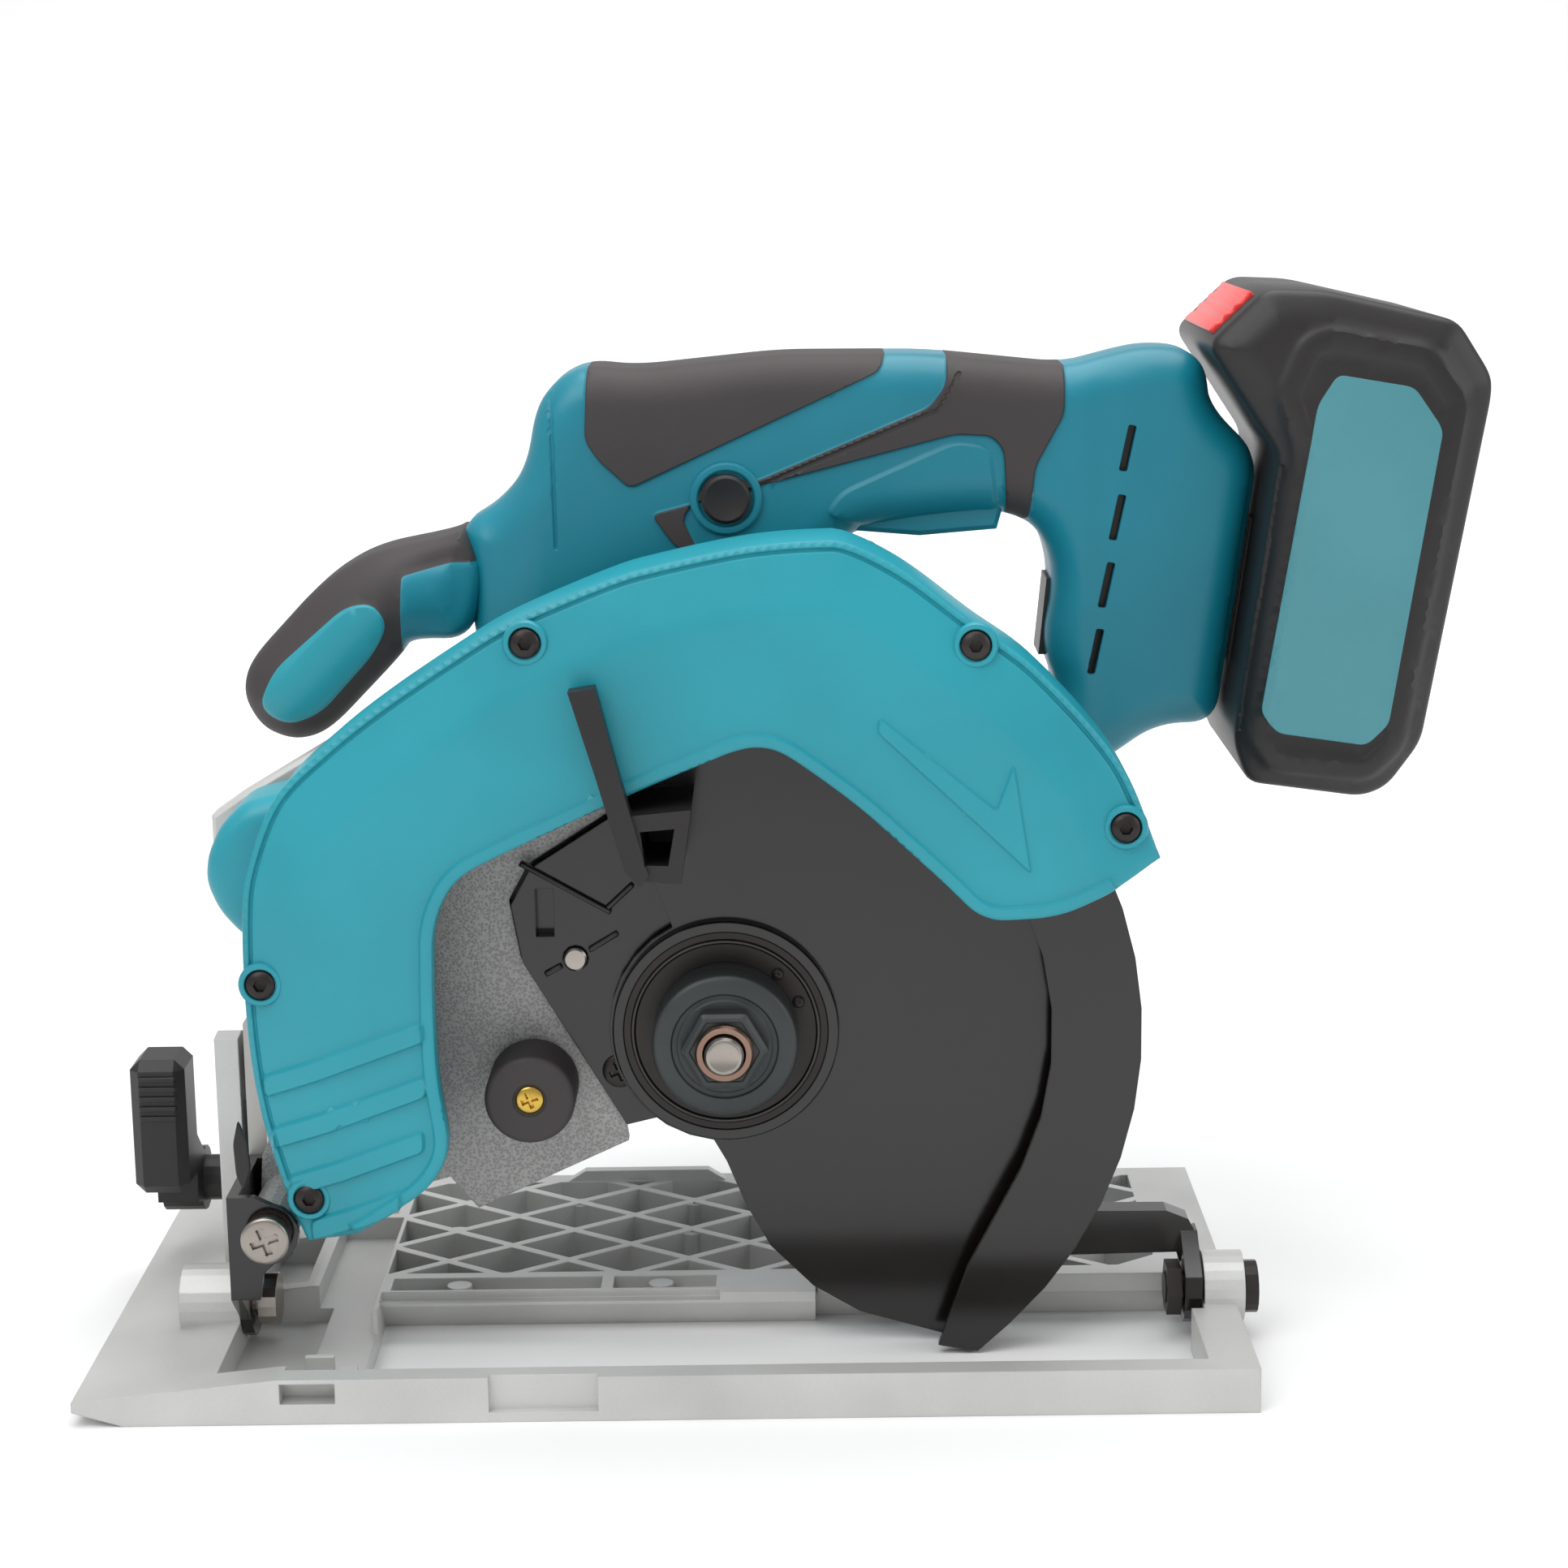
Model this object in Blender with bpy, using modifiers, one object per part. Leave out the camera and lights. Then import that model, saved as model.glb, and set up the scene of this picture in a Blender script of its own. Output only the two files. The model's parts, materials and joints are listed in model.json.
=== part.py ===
"""Cordless circular saw: base, tilting frame, saw body, guards, motor, gears and battery.

Lengths in the constants are millimetres on the saw's drawing axes: X from the front tip of the base
backwards, Y from the base's blade-side edge towards the motor, Z up from the sole.
"""

import math

import bmesh
import bpy
from mathutils import Matrix, Vector

MM = 0.001
X_MID = 169.1
Y_MID = 86.0

# Base
BASE_LENGTH = 278.7
BASE_WIDTH = 146.4
BASE_HEIGHT = 11.0
BASE_FLOOR = 3.0
RAMP_END = 48.0
BEVEL_Y = 50.0
BEVEL_Z = 12.5
BEVEL_BOSS_R = 9.0

# Tilting frame
DEPTH_X = 43.0
DEPTH_Z = 36.5
CLAMP_R = 54.6
CLAMP_ANGLE = 15.0
GUIDE_R = 175.0
GUIDE_CLAMP_ANGLE = 25.0

# Saw body
SPINDLE_X = 154.0
SPINDLE_Z = 81.3
MOTOR_X = 149.0
MOTOR_Z = 107.0
MOTOR_R = 40.0
CASE_Y = 55.0
COVER_Y = 27.0
GUARD_R = 100.5
GUARD_Y = 38.6
HANDLE_Y = 90.0

SEGMENTS = 24
WELD = 0.00001

TEAL = ("teal", 0.018, 0.319, 0.392, 0.42, 0.0)
DARK_TEAL = ("dark_teal", 0.005, 0.238, 0.319, 0.45, 0.0)
RUBBER = ("rubber", 0.05, 0.042, 0.042, 0.75, 0.0)
BLACK = ("black", 0.028, 0.024, 0.025, 0.4, 0.0)
GLOSSY = ("glossy", 0.03, 0.022, 0.022, 0.15, 0.3)
CAST = ("cast", 0.58, 0.58, 0.57, 0.5, 0.6)
SAND = ("sand", 0.27, 0.27, 0.27, 0.6, 0.4)
STEEL = ("steel", 0.5, 0.48, 0.46, 0.3, 1.0)
BRASS = ("brass", 0.75, 0.54, 0.12, 0.3, 1.0)
COPPER = ("copper", 0.6, 0.25, 0.12, 0.4, 1.0)
RED = ("red", 0.85, 0.04, 0.04, 0.4, 0.0)
BOARD = ("board", 0.02, 0.16, 0.06, 0.5, 0.0)


def at(x, y, z):
    """Return the world point, in metres, of a point on the drawing axes."""
    return Vector(((x - X_MID) * MM, (y - Y_MID) * MM, z * MM))


def polar(cx, cz, radius, degrees):
    """Return the point at an angle from +X towards +Z round a centre in the XZ plane."""
    turn = math.radians(degrees)
    return (cx + radius * math.cos(turn), cz + radius * math.sin(turn))


def arc(cx, cz, radius, start, end, count=8):
    """Return points along an arc from one angle to another, both ends included."""
    return [polar(cx, cz, radius, start + (end - start) * i / count) for i in range(count + 1)]


def new_collection(name):
    """Link and return a collection of the scene."""
    made = bpy.data.collections.new(name)
    bpy.context.scene.collection.children.link(made)
    return made


for old in list(bpy.data.objects):
    bpy.data.objects.remove(old, do_unlink=True)
SAW = new_collection("circular_saw")
CUTTERS = new_collection("cutters")


def paint(obj, finish):
    """Give an object a Principled material of its own."""
    name, red, green, blue, roughness, metallic = finish
    material = bpy.data.materials.new(obj.name + "_" + name)
    material.use_nodes = True
    shader = material.node_tree.nodes["Principled BSDF"]
    shader.inputs["Base Color"].default_value = (red, green, blue, 1.0)
    shader.inputs["Roughness"].default_value = roughness
    shader.inputs["Metallic"].default_value = metallic
    obj.data.materials.clear()
    obj.data.materials.append(material)


def add_object(name, mesh, collection, matrix=None):
    """Link a mesh object at a placement."""
    obj = bpy.data.objects.new(name, mesh)
    collection.objects.link(obj)
    if matrix is not None:
        obj.matrix_world = matrix
    return obj


def box_mesh(name, size, bevel=0.0):
    """Return a box mesh about its own centre, with its edges bevelled by a width in mm."""
    shape = bmesh.new()
    bmesh.ops.create_cube(shape, size=1.0)
    bmesh.ops.scale(shape, vec=Vector(size) * MM, verts=shape.verts)
    if bevel:
        bmesh.ops.bevel(shape, geom=shape.edges[:], offset=bevel * MM, segments=1, affect="EDGES")
    mesh = bpy.data.meshes.new(name)
    shape.to_mesh(mesh)
    shape.free()
    return mesh


def box(name, low, high, finish=None, bevel=0.0):
    """Make a box between two drawing corners; with no finish it is a cutter or a tool shape."""
    size = [b - a for a, b in zip(low, high)]
    middle = [(a + b) / 2 for a, b in zip(low, high)]
    collection = SAW if finish else CUTTERS
    obj = add_object(name, box_mesh(name, size, bevel), collection, Matrix.Translation(at(*middle)))
    return dress(obj, finish)


def dress(obj, finish):
    """Paint a part, or hide a cutter."""
    if finish:
        paint(obj, finish)
    else:
        obj.hide_render = True
        obj.display_type = "WIRE"
    return obj


def axis_turn(axis):
    """Return the rotation that lays local +Z along a drawing axis."""
    turns = {
        "x": Matrix.Rotation(math.pi / 2, 4, "Y"),
        "y": Matrix.Rotation(-math.pi / 2, 4, "X"),
        "z": Matrix.Identity(4),
    }
    return turns[axis]


def drum(name, axis, start, length, radius, finish=None, sides=SEGMENTS, end_radius=None):
    """Make a cylinder or cone that starts at a drawing point and runs along an axis."""
    shape = bmesh.new()
    far = radius if end_radius is None else end_radius
    bmesh.ops.create_cone(
        shape,
        cap_ends=True,
        segments=sides,
        radius1=radius * MM,
        radius2=far * MM,
        depth=length * MM,
    )
    bmesh.ops.translate(shape, vec=(0.0, 0.0, length * MM / 2), verts=shape.verts)
    mesh = bpy.data.meshes.new(name)
    shape.to_mesh(mesh)
    shape.free()
    mesh.shade_smooth()
    mesh.set_sharp_from_angle(angle=math.radians(40))
    collection = SAW if finish else CUTTERS
    obj = add_object(name, mesh, collection, Matrix.Translation(at(*start)) @ axis_turn(axis))
    return dress(obj, finish)


def turned(name, axis, origin, profile, finish=None, sides=SEGMENTS):
    """Turn a closed profile of (radius, height) points, outer side listed top to bottom."""
    mesh = bpy.data.meshes.new(name)
    verts = [(r * MM, 0.0, h * MM) for r, h in profile]
    count = len(verts)
    on_axis = profile[0][0] == 0.0 and profile[-1][0] == 0.0
    edges = [(i, (i + 1) % count) for i in range(count - 1 if on_axis else count)]
    mesh.from_pydata(verts, edges, [])
    collection = SAW if finish else CUTTERS
    obj = add_object(name, mesh, collection, Matrix.Translation(at(*origin)) @ axis_turn(axis))
    screw = obj.modifiers.new("turn", "SCREW")
    screw.axis = "Z"
    screw.steps = sides
    screw.render_steps = sides
    screw.use_merge_vertices = True
    screw.merge_threshold = WELD
    return dress(obj, finish)


def ring(name, axis, origin, inner, outer, depth, finish=None, sides=SEGMENTS):
    """Make a plain ring with a square section."""
    profile = [(outer, depth), (outer, 0.0), (inner, 0.0), (inner, depth)]
    return turned(name, axis, origin, profile, finish, sides)


def freeze(curve_object, collection):
    """Turn a curve object into a welded mesh object in the same place."""
    bpy.context.view_layer.update()
    graph = bpy.context.evaluated_depsgraph_get()
    mesh = bpy.data.meshes.new_from_object(curve_object.evaluated_get(graph))
    shape = bmesh.new()
    shape.from_mesh(mesh)
    bmesh.ops.remove_doubles(shape, verts=shape.verts, dist=WELD)
    bmesh.ops.recalc_face_normals(shape, faces=shape.faces)
    shape.to_mesh(mesh)
    shape.free()
    name = curve_object.name
    place = curve_object.matrix_world.copy()
    bpy.data.objects.remove(curve_object, do_unlink=True)
    return add_object(name, mesh, collection, place)


def outline_curve(name, loops, thickness):
    """Return a filled 2D curve object of closed outlines in mm, with half its thickness each way."""
    data = bpy.data.curves.new(name, "CURVE")
    data.dimensions = "2D"
    data.fill_mode = "BOTH"
    data.extrude = thickness * MM / 2
    for loop in loops:
        spline = data.splines.new("POLY")
        spline.points.add(len(loop) - 1)
        for point, (u, v) in zip(spline.points, loop):
            point.co = (u * MM, v * MM, 0.0, 1.0)
        spline.use_cyclic_u = True
    obj = bpy.data.objects.new(name, data)
    bpy.context.scene.collection.objects.link(obj)
    return obj


def plate(name, loops, near, far, finish=None):
    """Make a flat plate of XZ outlines between two depths in Y; later loops are holes."""
    if not isinstance(loops[0][0], (tuple, list)):
        loops = [loops]
    curve = outline_curve(name, loops, far - near)
    curve.location = at(0.0, (near + far) / 2, 0.0)
    curve.rotation_euler = (math.pi / 2, 0.0, 0.0)
    return dress(freeze(curve, SAW if finish else CUTTERS), finish)


def cross_plate(name, loops, front, back, finish=None):
    """Make a flat plate of YZ outlines between two places in X."""
    if not isinstance(loops[0][0], (tuple, list)):
        loops = [loops]
    curve = outline_curve(name, loops, back - front)
    curve.location = at((front + back) / 2, 0.0, 0.0)
    curve.rotation_euler = (math.pi / 2, 0.0, math.pi / 2)
    return dress(freeze(curve, SAW if finish else CUTTERS), finish)


def floor_plate(name, loops, low, high, finish=None):
    """Make a flat plate of XY outlines between two heights."""
    if not isinstance(loops[0][0], (tuple, list)):
        loops = [loops]
    curve = outline_curve(name, loops, high - low)
    curve.location = at(0.0, 0.0, (low + high) / 2)
    return dress(freeze(curve, SAW if finish else CUTTERS), finish)


def combine(target, tool, operation):
    """Add a live exact Boolean between two objects."""
    modifier = target.modifiers.new(operation.lower(), "BOOLEAN")
    modifier.operation = operation
    modifier.solver = "EXACT"
    modifier.object = tool
    return target


def cut(target, *tools):
    """Cut cutters out of a part."""
    for tool in tools:
        combine(target, tool, "DIFFERENCE")
    return target


def join(target, *tools):
    """Join hidden shapes to a part."""
    for tool in tools:
        combine(target, tool, "UNION")
    return target


def merged(name, objects):
    """Join separate cutters that don't touch into one cutter object."""
    shape = bmesh.new()
    for obj in objects:
        start = len(shape.verts)
        shape.from_mesh(obj.data)
        shape.verts.ensure_lookup_table()
        bmesh.ops.transform(shape, matrix=obj.matrix_world, verts=shape.verts[start:])
        bpy.data.objects.remove(obj, do_unlink=True)
    mesh = bpy.data.meshes.new(name)
    shape.to_mesh(mesh)
    shape.free()
    return dress(add_object(name, mesh, CUTTERS), None)


def pivot(name, x, y, z, parent=None):
    """Make an empty on a joint axis."""
    empty = bpy.data.objects.new(name, None)
    SAW.objects.link(empty)
    empty.empty_display_size = 0.02
    place = Matrix.Translation(at(x, y, z))
    if parent is not None:
        empty.parent = parent
        empty.matrix_parent_inverse = parent.matrix_world.inverted()
    empty.matrix_world = place
    bpy.context.view_layer.update()
    return empty


def hang(parent, *objects):
    """Parent parts to a joint's empty and keep where they are."""
    for obj in objects:
        obj.parent = parent
        obj.matrix_parent_inverse = parent.matrix_world.inverted()




def loft(name, sections, finish=None):
    """Skin closed XZ outlines of equal point counts, given as (depth in Y, points), near to far."""
    shape = bmesh.new()
    rings = [[shape.verts.new(at(x, y, z)) for x, z in points] for y, points in sections]
    count = len(rings[0])
    for front, back in zip(rings, rings[1:]):
        for i in range(count):
            j = (i + 1) % count
            shape.faces.new((front[i], front[j], back[j], back[i]))
    shape.faces.new(rings[0])
    shape.faces.new(rings[-1])
    bmesh.ops.recalc_face_normals(shape, faces=shape.faces)
    mesh = bpy.data.meshes.new(name)
    shape.to_mesh(mesh)
    shape.free()
    return dress(add_object(name, mesh, SAW if finish else CUTTERS), finish)


def inset(points, distance):
    """Move a closed outline inwards by a distance, with mitred corners."""
    area = sum(a[0] * b[1] - b[0] * a[1] for a, b in zip(points, points[1:] + points[:1]))
    side = 1.0 if area > 0 else -1.0
    moved = []
    for before, here, after in zip(points[-1:] + points[:-1], points, points[1:] + points[:1]):
        first = Vector((here[0] - before[0], here[1] - before[1])).normalized()
        second = Vector((after[0] - here[0], after[1] - here[1])).normalized()
        normal = Vector((-first.y - second.y, first.x + second.x)).normalized() * side
        spread = max(0.5, normal.dot(Vector((-first.y, first.x)) * side))
        moved.append((here[0] + normal.x * distance / spread, here[1] + normal.y * distance / spread))
    return moved


def rounded_plate(name, points, near, far, edge, finish=None, both=True):
    """Make a thick plate with chamfered near edges, and far edges too unless told otherwise."""
    sections = [(near, inset(points, edge)), (near + edge, points)]
    if both:
        sections += [(far - edge, points), (far, inset(points, edge))]
    else:
        sections += [(far, points)]
    return loft(name, sections, finish)


def clip(points, x0, x1, y0, y1):
    """Clip a convex polygon to a rectangle."""
    for axis, limit, keep in ((0, x0, 1), (0, x1, -1), (1, y0, 1), (1, y1, -1)):
        kept = []
        for a, b in zip(points, points[1:] + points[:1]):
            inside_a = (a[axis] - limit) * keep >= 0
            inside_b = (b[axis] - limit) * keep >= 0
            if inside_a:
                kept.append(a)
            if inside_a != inside_b:
                t = (limit - a[axis]) / (b[axis] - a[axis])
                kept.append((a[0] + (b[0] - a[0]) * t, a[1] + (b[1] - a[1]) * t))
        points = kept
        if len(points) < 3:
            return []
    return points


def area_of(points):
    """Return the area of a polygon."""
    return abs(sum(a[0] * b[1] - b[0] * a[1] for a, b in zip(points, points[1:] + points[:1]))) / 2


# Base ----------------------------------------------------------------------------------------

LATTICE_PITCH_X = 15.5
LATTICE_PITCH_Y = 11.3
LATTICE_X = 80.5
LATTICE_Y = 90.2
LATTICE_RIB = 1.3
LATTICE_FIELDS = ((66.0, 172.0, 70.0, 140.5), (186.0, 262.0, 70.0, 140.5))
OPENING = [(66.4, 6.5), (267.2, 6.5), (267.2, 39.0), (270.4, 39.0), (270.4, 62.0)]
OPENING += [(267.2, 66.0), (175.0, 66.0), (175.0, 54.0), (66.4, 54.0)]


STRIP_BOSSES = [(85.0, 62.5), (136.0, 62.5)]
LATTICE_BOSSES = [(80.5, 102.9), (111.9, 124.3), (142.7, 124.0), (142.7, 100.6)]


def lattice_cells():
    """Return cutters for the triangular pockets between the crossing ribs."""
    cells = []
    for x0, x1, y0, y1 in LATTICE_FIELDS:
        for i in range(-2, 14):
            for j in range(-3, 6):
                if (i + j) % 2:
                    continue
                cx = LATTICE_X + LATTICE_PITCH_X * i
                cy = LATTICE_Y + LATTICE_PITCH_Y * j
                half_x = LATTICE_PITCH_X - LATTICE_RIB * 1.6
                half_y = LATTICE_PITCH_Y - LATTICE_RIB * 1.2
                diamond = [(cx - half_x, cy), (cx, cy - half_y), (cx + half_x, cy), (cx, cy + half_y)]
                cell = clip(diamond, x0, x1, y0, y1)
                if cell and area_of(cell) > 12.0:
                    cells.append(floor_plate(f"cell_{len(cells)}", cell, BASE_FLOOR, 12.0))
    return merged("lattice_cutter", cells)


def make_base():
    """Make the cast base with its openings, pockets, lattice and bevel bosses."""
    profile = [(0.0, 3.6), (12.0, 0.0), (BASE_LENGTH, 0.0), (BASE_LENGTH, BASE_HEIGHT)]
    profile += [(RAMP_END, BASE_HEIGHT), (0.0, 6.0)]
    base = plate("base_plate", profile, 0.0, BASE_WIDTH, CAST)
    far_wall = plate("far_wall", [(104, 9), (112, 14), (146, 14), (154, 9)], 140.8, 144.0)
    front_boss = drum("front_boss", "x", (18.0, BEVEL_Y, BEVEL_Z), 15.0, BEVEL_BOSS_R)
    rear_boss = drum("rear_boss", "x", (270.8, BEVEL_Y, BEVEL_Z), 10.0, BEVEL_BOSS_R)
    join(base, far_wall, front_boss, rear_boss)
    pockets = [
        box("front_pocket_far", (34.0, 66.0, 3.0), (46.0, 100.0, 12.0)),
        box("channel", (49.5, 16.0, 5.0), (65.0, 113.0, 12.0)),
        box("channel_mouth", (49.5, 6.5, 5.0), (62.0, 14.5, 12.0)),
        box("fence_slot", (49.0, -1.0, 5.0), (62.0, 5.5, 10.0)),
        box("side_notch", (98.0, -1.0, 2.4), (123.6, 2.0, 12.0)),
        box("strip_front", (68.0, 58.0, 7.0), (121.0, 66.5, 12.0)),
        box("strip_rear", (124.0, 58.0, 7.0), (150.0, 66.5, 12.0)),
        box("tail_pocket", (182.0, 68.2, 3.0), (184.0, 69.0, 12.0)),
        box("front_bench", (52.0, 116.0, 3.0), (63.0, 141.0, 12.0)),
    ]
    pocket_cutter = merged("pocket_cutter", pockets)
    bracket_pocket = box("bracket_pocket", (33.0, 9.0, 1.5), (53.0, 62.0, 24.0))
    cover_relief = box("cover_relief", (60.0, 9.0, 5.0), (70.0, 44.0, 24.0))
    strip_step = box("strip_step", (66.0, 52.0, 9.0), (151.0, 57.0, 12.0))
    opening = floor_plate("opening_cutter", OPENING, -1.0, 12.0)
    relief = cross_plate("relief_cutter", [(50, 12.2), (62.9, -0.7), (50, -0.7)], 66.0, 176.0)
    pin_holes = merged(
        "pin_holes",
        [
            drum("pin_hole", "x", (20.0, BEVEL_Y, BEVEL_Z), 14.0, 4.3, sides=12),
            drum("bolt_hole", "x", (270.0, BEVEL_Y, BEVEL_Z), 12.0, 4.3, sides=12),
        ],
    )
    cut(base, opening, relief, bracket_pocket, cover_relief, strip_step)
    cut(base, pocket_cutter, lattice_cells(), pin_holes)
    rib = box("base_rib", (175.5, 64.0, 6.0), (266.5, 67.5, 11.0))
    bosses = [
        drum(f"boss_{i}", "z", (x, y, BASE_FLOOR), BASE_HEIGHT - BASE_FLOOR - 0.4, 3.2, sides=12)
        for i, (x, y) in enumerate(STRIP_BOSSES + LATTICE_BOSSES)
    ]
    join(base, rib, merged("strip_bosses", bosses))
    return base


def quadrant_outline():
    """Return the YZ outline of the bevel quadrant and its slot."""
    outer = arc(BEVEL_Y, BEVEL_Z, 66.7, 4.0, 74.0, 10)
    body = [(62.5, 11.4)] + [(BEVEL_Y + 66.0, 11.4)] + outer + [(62.5, 76.0)]
    slot = arc(BEVEL_Y, BEVEL_Z, CLAMP_R + 3.6, 11.0, 64.0, 8)
    slot += arc(BEVEL_Y, BEVEL_Z, CLAMP_R - 3.6, 64.0, 11.0, 8)
    return [body, slot]


def clamp_point():
    """Return the clamp bolt's place in YZ."""
    return polar(BEVEL_Y, BEVEL_Z, CLAMP_R, CLAMP_ANGLE)


def make_base_group():
    """Make the base and the pieces fixed to it."""
    make_base()
    cross_plate("bevel_quadrant", quadrant_outline(), 26.0, 32.0, CAST)
    pin = turned(
        "front_bevel_pin",
        "x",
        (21.0, BEVEL_Y, BEVEL_Z),
        [(0.0, 20.5), (6.5, 20.5), (6.5, 16.0), (3.9, 16.0), (3.9, 0.0), (0.0, 0.0)],
        STEEL,
        16,
    )
    bolt = turned(
        "rear_bevel_bolt",
        "x",
        (261.6, BEVEL_Y, BEVEL_Z),
        [(0.0, 22.9), (6.5, 22.9), (6.5, 19.6), (3.9, 19.6), (3.9, 0.0), (0.0, 0.0)],
        STEEL,
        16,
    )
    nut = drum("rear_bevel_nut", "x", (262.0, BEVEL_Y, BEVEL_Z), 3.6, 7.0, BLACK, 6)
    cut(nut, drum("nut_bore", "x", (258.0, BEVEL_Y, BEVEL_Z), 9.0, 4.2, sides=12))
    return [pin, bolt, nut]


# Tilting frame --------------------------------------------------------------------------------

EAR_R = 7.5
NEAR_EAR_Y = (29.0, 31.2)
FAR_EAR_Y = (59.6, 62.0)


def ear_outline(low):
    """Return the XZ outline of one ear of the tilting bracket."""
    nose = arc(DEPTH_X, DEPTH_Z, EAR_R, -80.0, 80.0, 8)
    return [(33.4, low), (40.5, low), (41.5, 26.5)] + nose + [(40.0, 46.0), (33.4, 46.0)]


def make_bracket():
    """Make the folded front bracket: a cross wall with two ears for the depth pivot."""
    bracket = plate("tilt_bracket", ear_outline(20.0), *NEAR_EAR_Y, BLACK)
    far_ear = plate("far_ear", ear_outline(26.0), *FAR_EAR_Y)
    tongue = arc(BEVEL_Y, BEVEL_Z, BEVEL_BOSS_R, -150.0, 0.0, 8)
    wall_outline = [(29.0, 46.0), (29.0, 20.0), (40.6, 10.5)] + tongue + [(62.0, 22.0), (62.0, 46.0)]
    wall = cross_plate("front_wall", wall_outline, 33.4, 36.0)
    join(bracket, wall, far_ear)
    holes = [
        drum("pivot_hole", "y", (DEPTH_X, 24.0, DEPTH_Z), 42.0, 4.3, sides=12),
        drum("bevel_hole", "x", (32.0, BEVEL_Y, BEVEL_Z), 4.5, 4.3, sides=12),
    ]
    return cut(bracket, merged("bracket_holes", holes))


def make_rear_arm():
    """Make the rear arm and its cross tab on the bevel axis."""
    outline = [(205.5, 31.7), (262.5, 31.3), (268.0, 29.0), (270.2, 24.9), (270.2, 17.0), (266.2, 17.0)]
    outline += [(265.0, 20.5), (205.5, 19.5)]
    arm = plate("rear_arm", outline, 53.0, 59.8, BLACK)
    tongue = arc(BEVEL_Y, BEVEL_Z, 8.6, -180.0, 0.0, 8)
    tab = cross_plate("tab", [(41.4, 18.0)] + tongue + [(58.6, 26.0), (53.0, 26.0)], 266.0, 270.2)
    join(arm, tab)
    return cut(arm, drum("tab_hole", "x", (264.0, BEVEL_Y, BEVEL_Z), 8.0, 4.3, sides=12))


def make_depth_guide():
    """Make the slotted arc plate that the depth lever clamps."""
    outer = arc(DEPTH_X, DEPTH_Z, GUIDE_R + 7.0, -7.0, 34.0, 12)
    inner = arc(DEPTH_X, DEPTH_Z, GUIDE_R - 7.0, 34.0, -5.0, 12)
    foot = [(206.0, 16.5), (222.5, 16.5)]
    slot = arc(DEPTH_X, DEPTH_Z, GUIDE_R + 3.6, -2.5, 32.5, 10)
    slot += arc(DEPTH_X, DEPTH_Z, GUIDE_R - 3.6, 32.5, -2.5, 10)
    return plate("depth_guide", [outer + inner + foot, slot], 60.1, 62.2, STEEL)


def make_tilt_frame():
    """Make the pieces that lean with the bevel."""
    clamp_y, clamp_z = clamp_point()
    tilt_outline = [(62.3, 22.0), (76.0, 20.0), (110.0, 20.0), (110.0, 44.0), (94.0, 68.0), (76.0, 80.0)]
    tilt_outline += [(62.3, 80.0)]
    tilt_plate = cross_plate("tilt_plate", tilt_outline, 33.4, 38.0, CAST)
    cut(tilt_plate, drum("clamp_hole", "x", (32.0, clamp_y, clamp_z), 8.0, 3.4, sides=12))
    pivot_profile = [(0.0, 0.0), (3.9, 0.0), (3.9, 37.0), (5.6, 37.0), (5.6, 40.8), (0.0, 40.8)]
    pivot_profile = [(r, 40.8 - h) for r, h in pivot_profile]
    depth_bolt = turned("depth_pivot_bolt", "y", (DEPTH_X, 25.0, DEPTH_Z), pivot_profile, STEEL, 16)
    clamp_profile = [(0.0, 27.0), (6.0, 27.0), (6.0, 23.5), (3.0, 23.5), (3.0, 0.0), (0.0, 0.0)]
    clamp_bolt = turned("bevel_clamp_bolt", "x", (15.0, clamp_y, clamp_z), clamp_profile, STEEL, 16)
    return [
        make_bracket(),
        tilt_plate,
        make_rear_arm(),
        make_depth_guide(),
        depth_bolt,
        clamp_bolt,
    ]


def make_bevel_lever():
    """Make the ribbed lever that locks the bevel."""
    clamp_y, clamp_z = clamp_point()
    lever = box("bevel_lever", (0.6, 78.0, 30.0), (14.6, 95.0, 65.5), BLACK, 2.5)
    hub = drum("lever_hub", "x", (4.0, clamp_y, clamp_z), 10.6, 8.5, sides=16)
    neck = cross_plate("lever_neck", [(90.0, 24.0), (104.0, 20.0), (106.0, 30.0), (90.0, 44.0)], 4.0, 14.6)
    join(lever, hub, neck)
    collar = drum("lever_collar", "x", (14.0, clamp_y, clamp_z), 11.6, 6.0, sides=16)
    join(lever, collar)
    return cut(lever, drum("lever_bore", "x", (14.4, clamp_y, clamp_z), 12.0, 3.3, sides=12))


# Saw body: guards, casting and gears ------------------------------------------------------------

COVER_OUTER = [(52.6, 34.9), (47.7, 48.3), (42.7, 68.2), (40.5, 90.0), (40.6, 114.4), (42.6, 127.6)]
COVER_OUTER += [(49.7, 144.1), (75.3, 166.1), (105.4, 184.9), (140.3, 197.8), (160.7, 201.8)]
COVER_OUTER += [(176.9, 203.0), (191.5, 200.3), (228.8, 171.9), (247.7, 149.9), (257.4, 126.9)]
COVER_INNER = [(246.9, 120.0), (233.3, 113.8), (215.5, 112.9), (206.4, 122.3), (186.8, 140.7)]
COVER_INNER += [(169.8, 153.8), (159.9, 155.5), (137.3, 146.3), (93.5, 126.5), (86.2, 114.3)]
COVER_INNER += [(85.8, 77.0), (88.5, 58.5), (83.1, 48.9), (64.9, 37.2)]
COVER_SCREWS = [(109.7, 180.4), (213.9, 178.4), (248.9, 134.8), (44.6, 99.5), (53.9, 46.4)]
COVER_FAR = 51.5
COVER_WALL = 2.2
RECESS = [(126.0, 134.0), (106.3, 121.5), (101.4, 112.5), (103.9, 98.1), (128.3, 56.5)]
GUARD_SPAN = (-47.0, 112.0)
GUARD_FAR = 49.4
BOSS_R = 22.0
GEAR_CASE_R = 25.3
GEAR_CASE_FAR = 66.0
LOCK_PIN = (117.5, 98.5)
GUIDE_BOLT = polar(DEPTH_X, DEPTH_Z, GUIDE_R, GUIDE_CLAMP_ANGLE)


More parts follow.
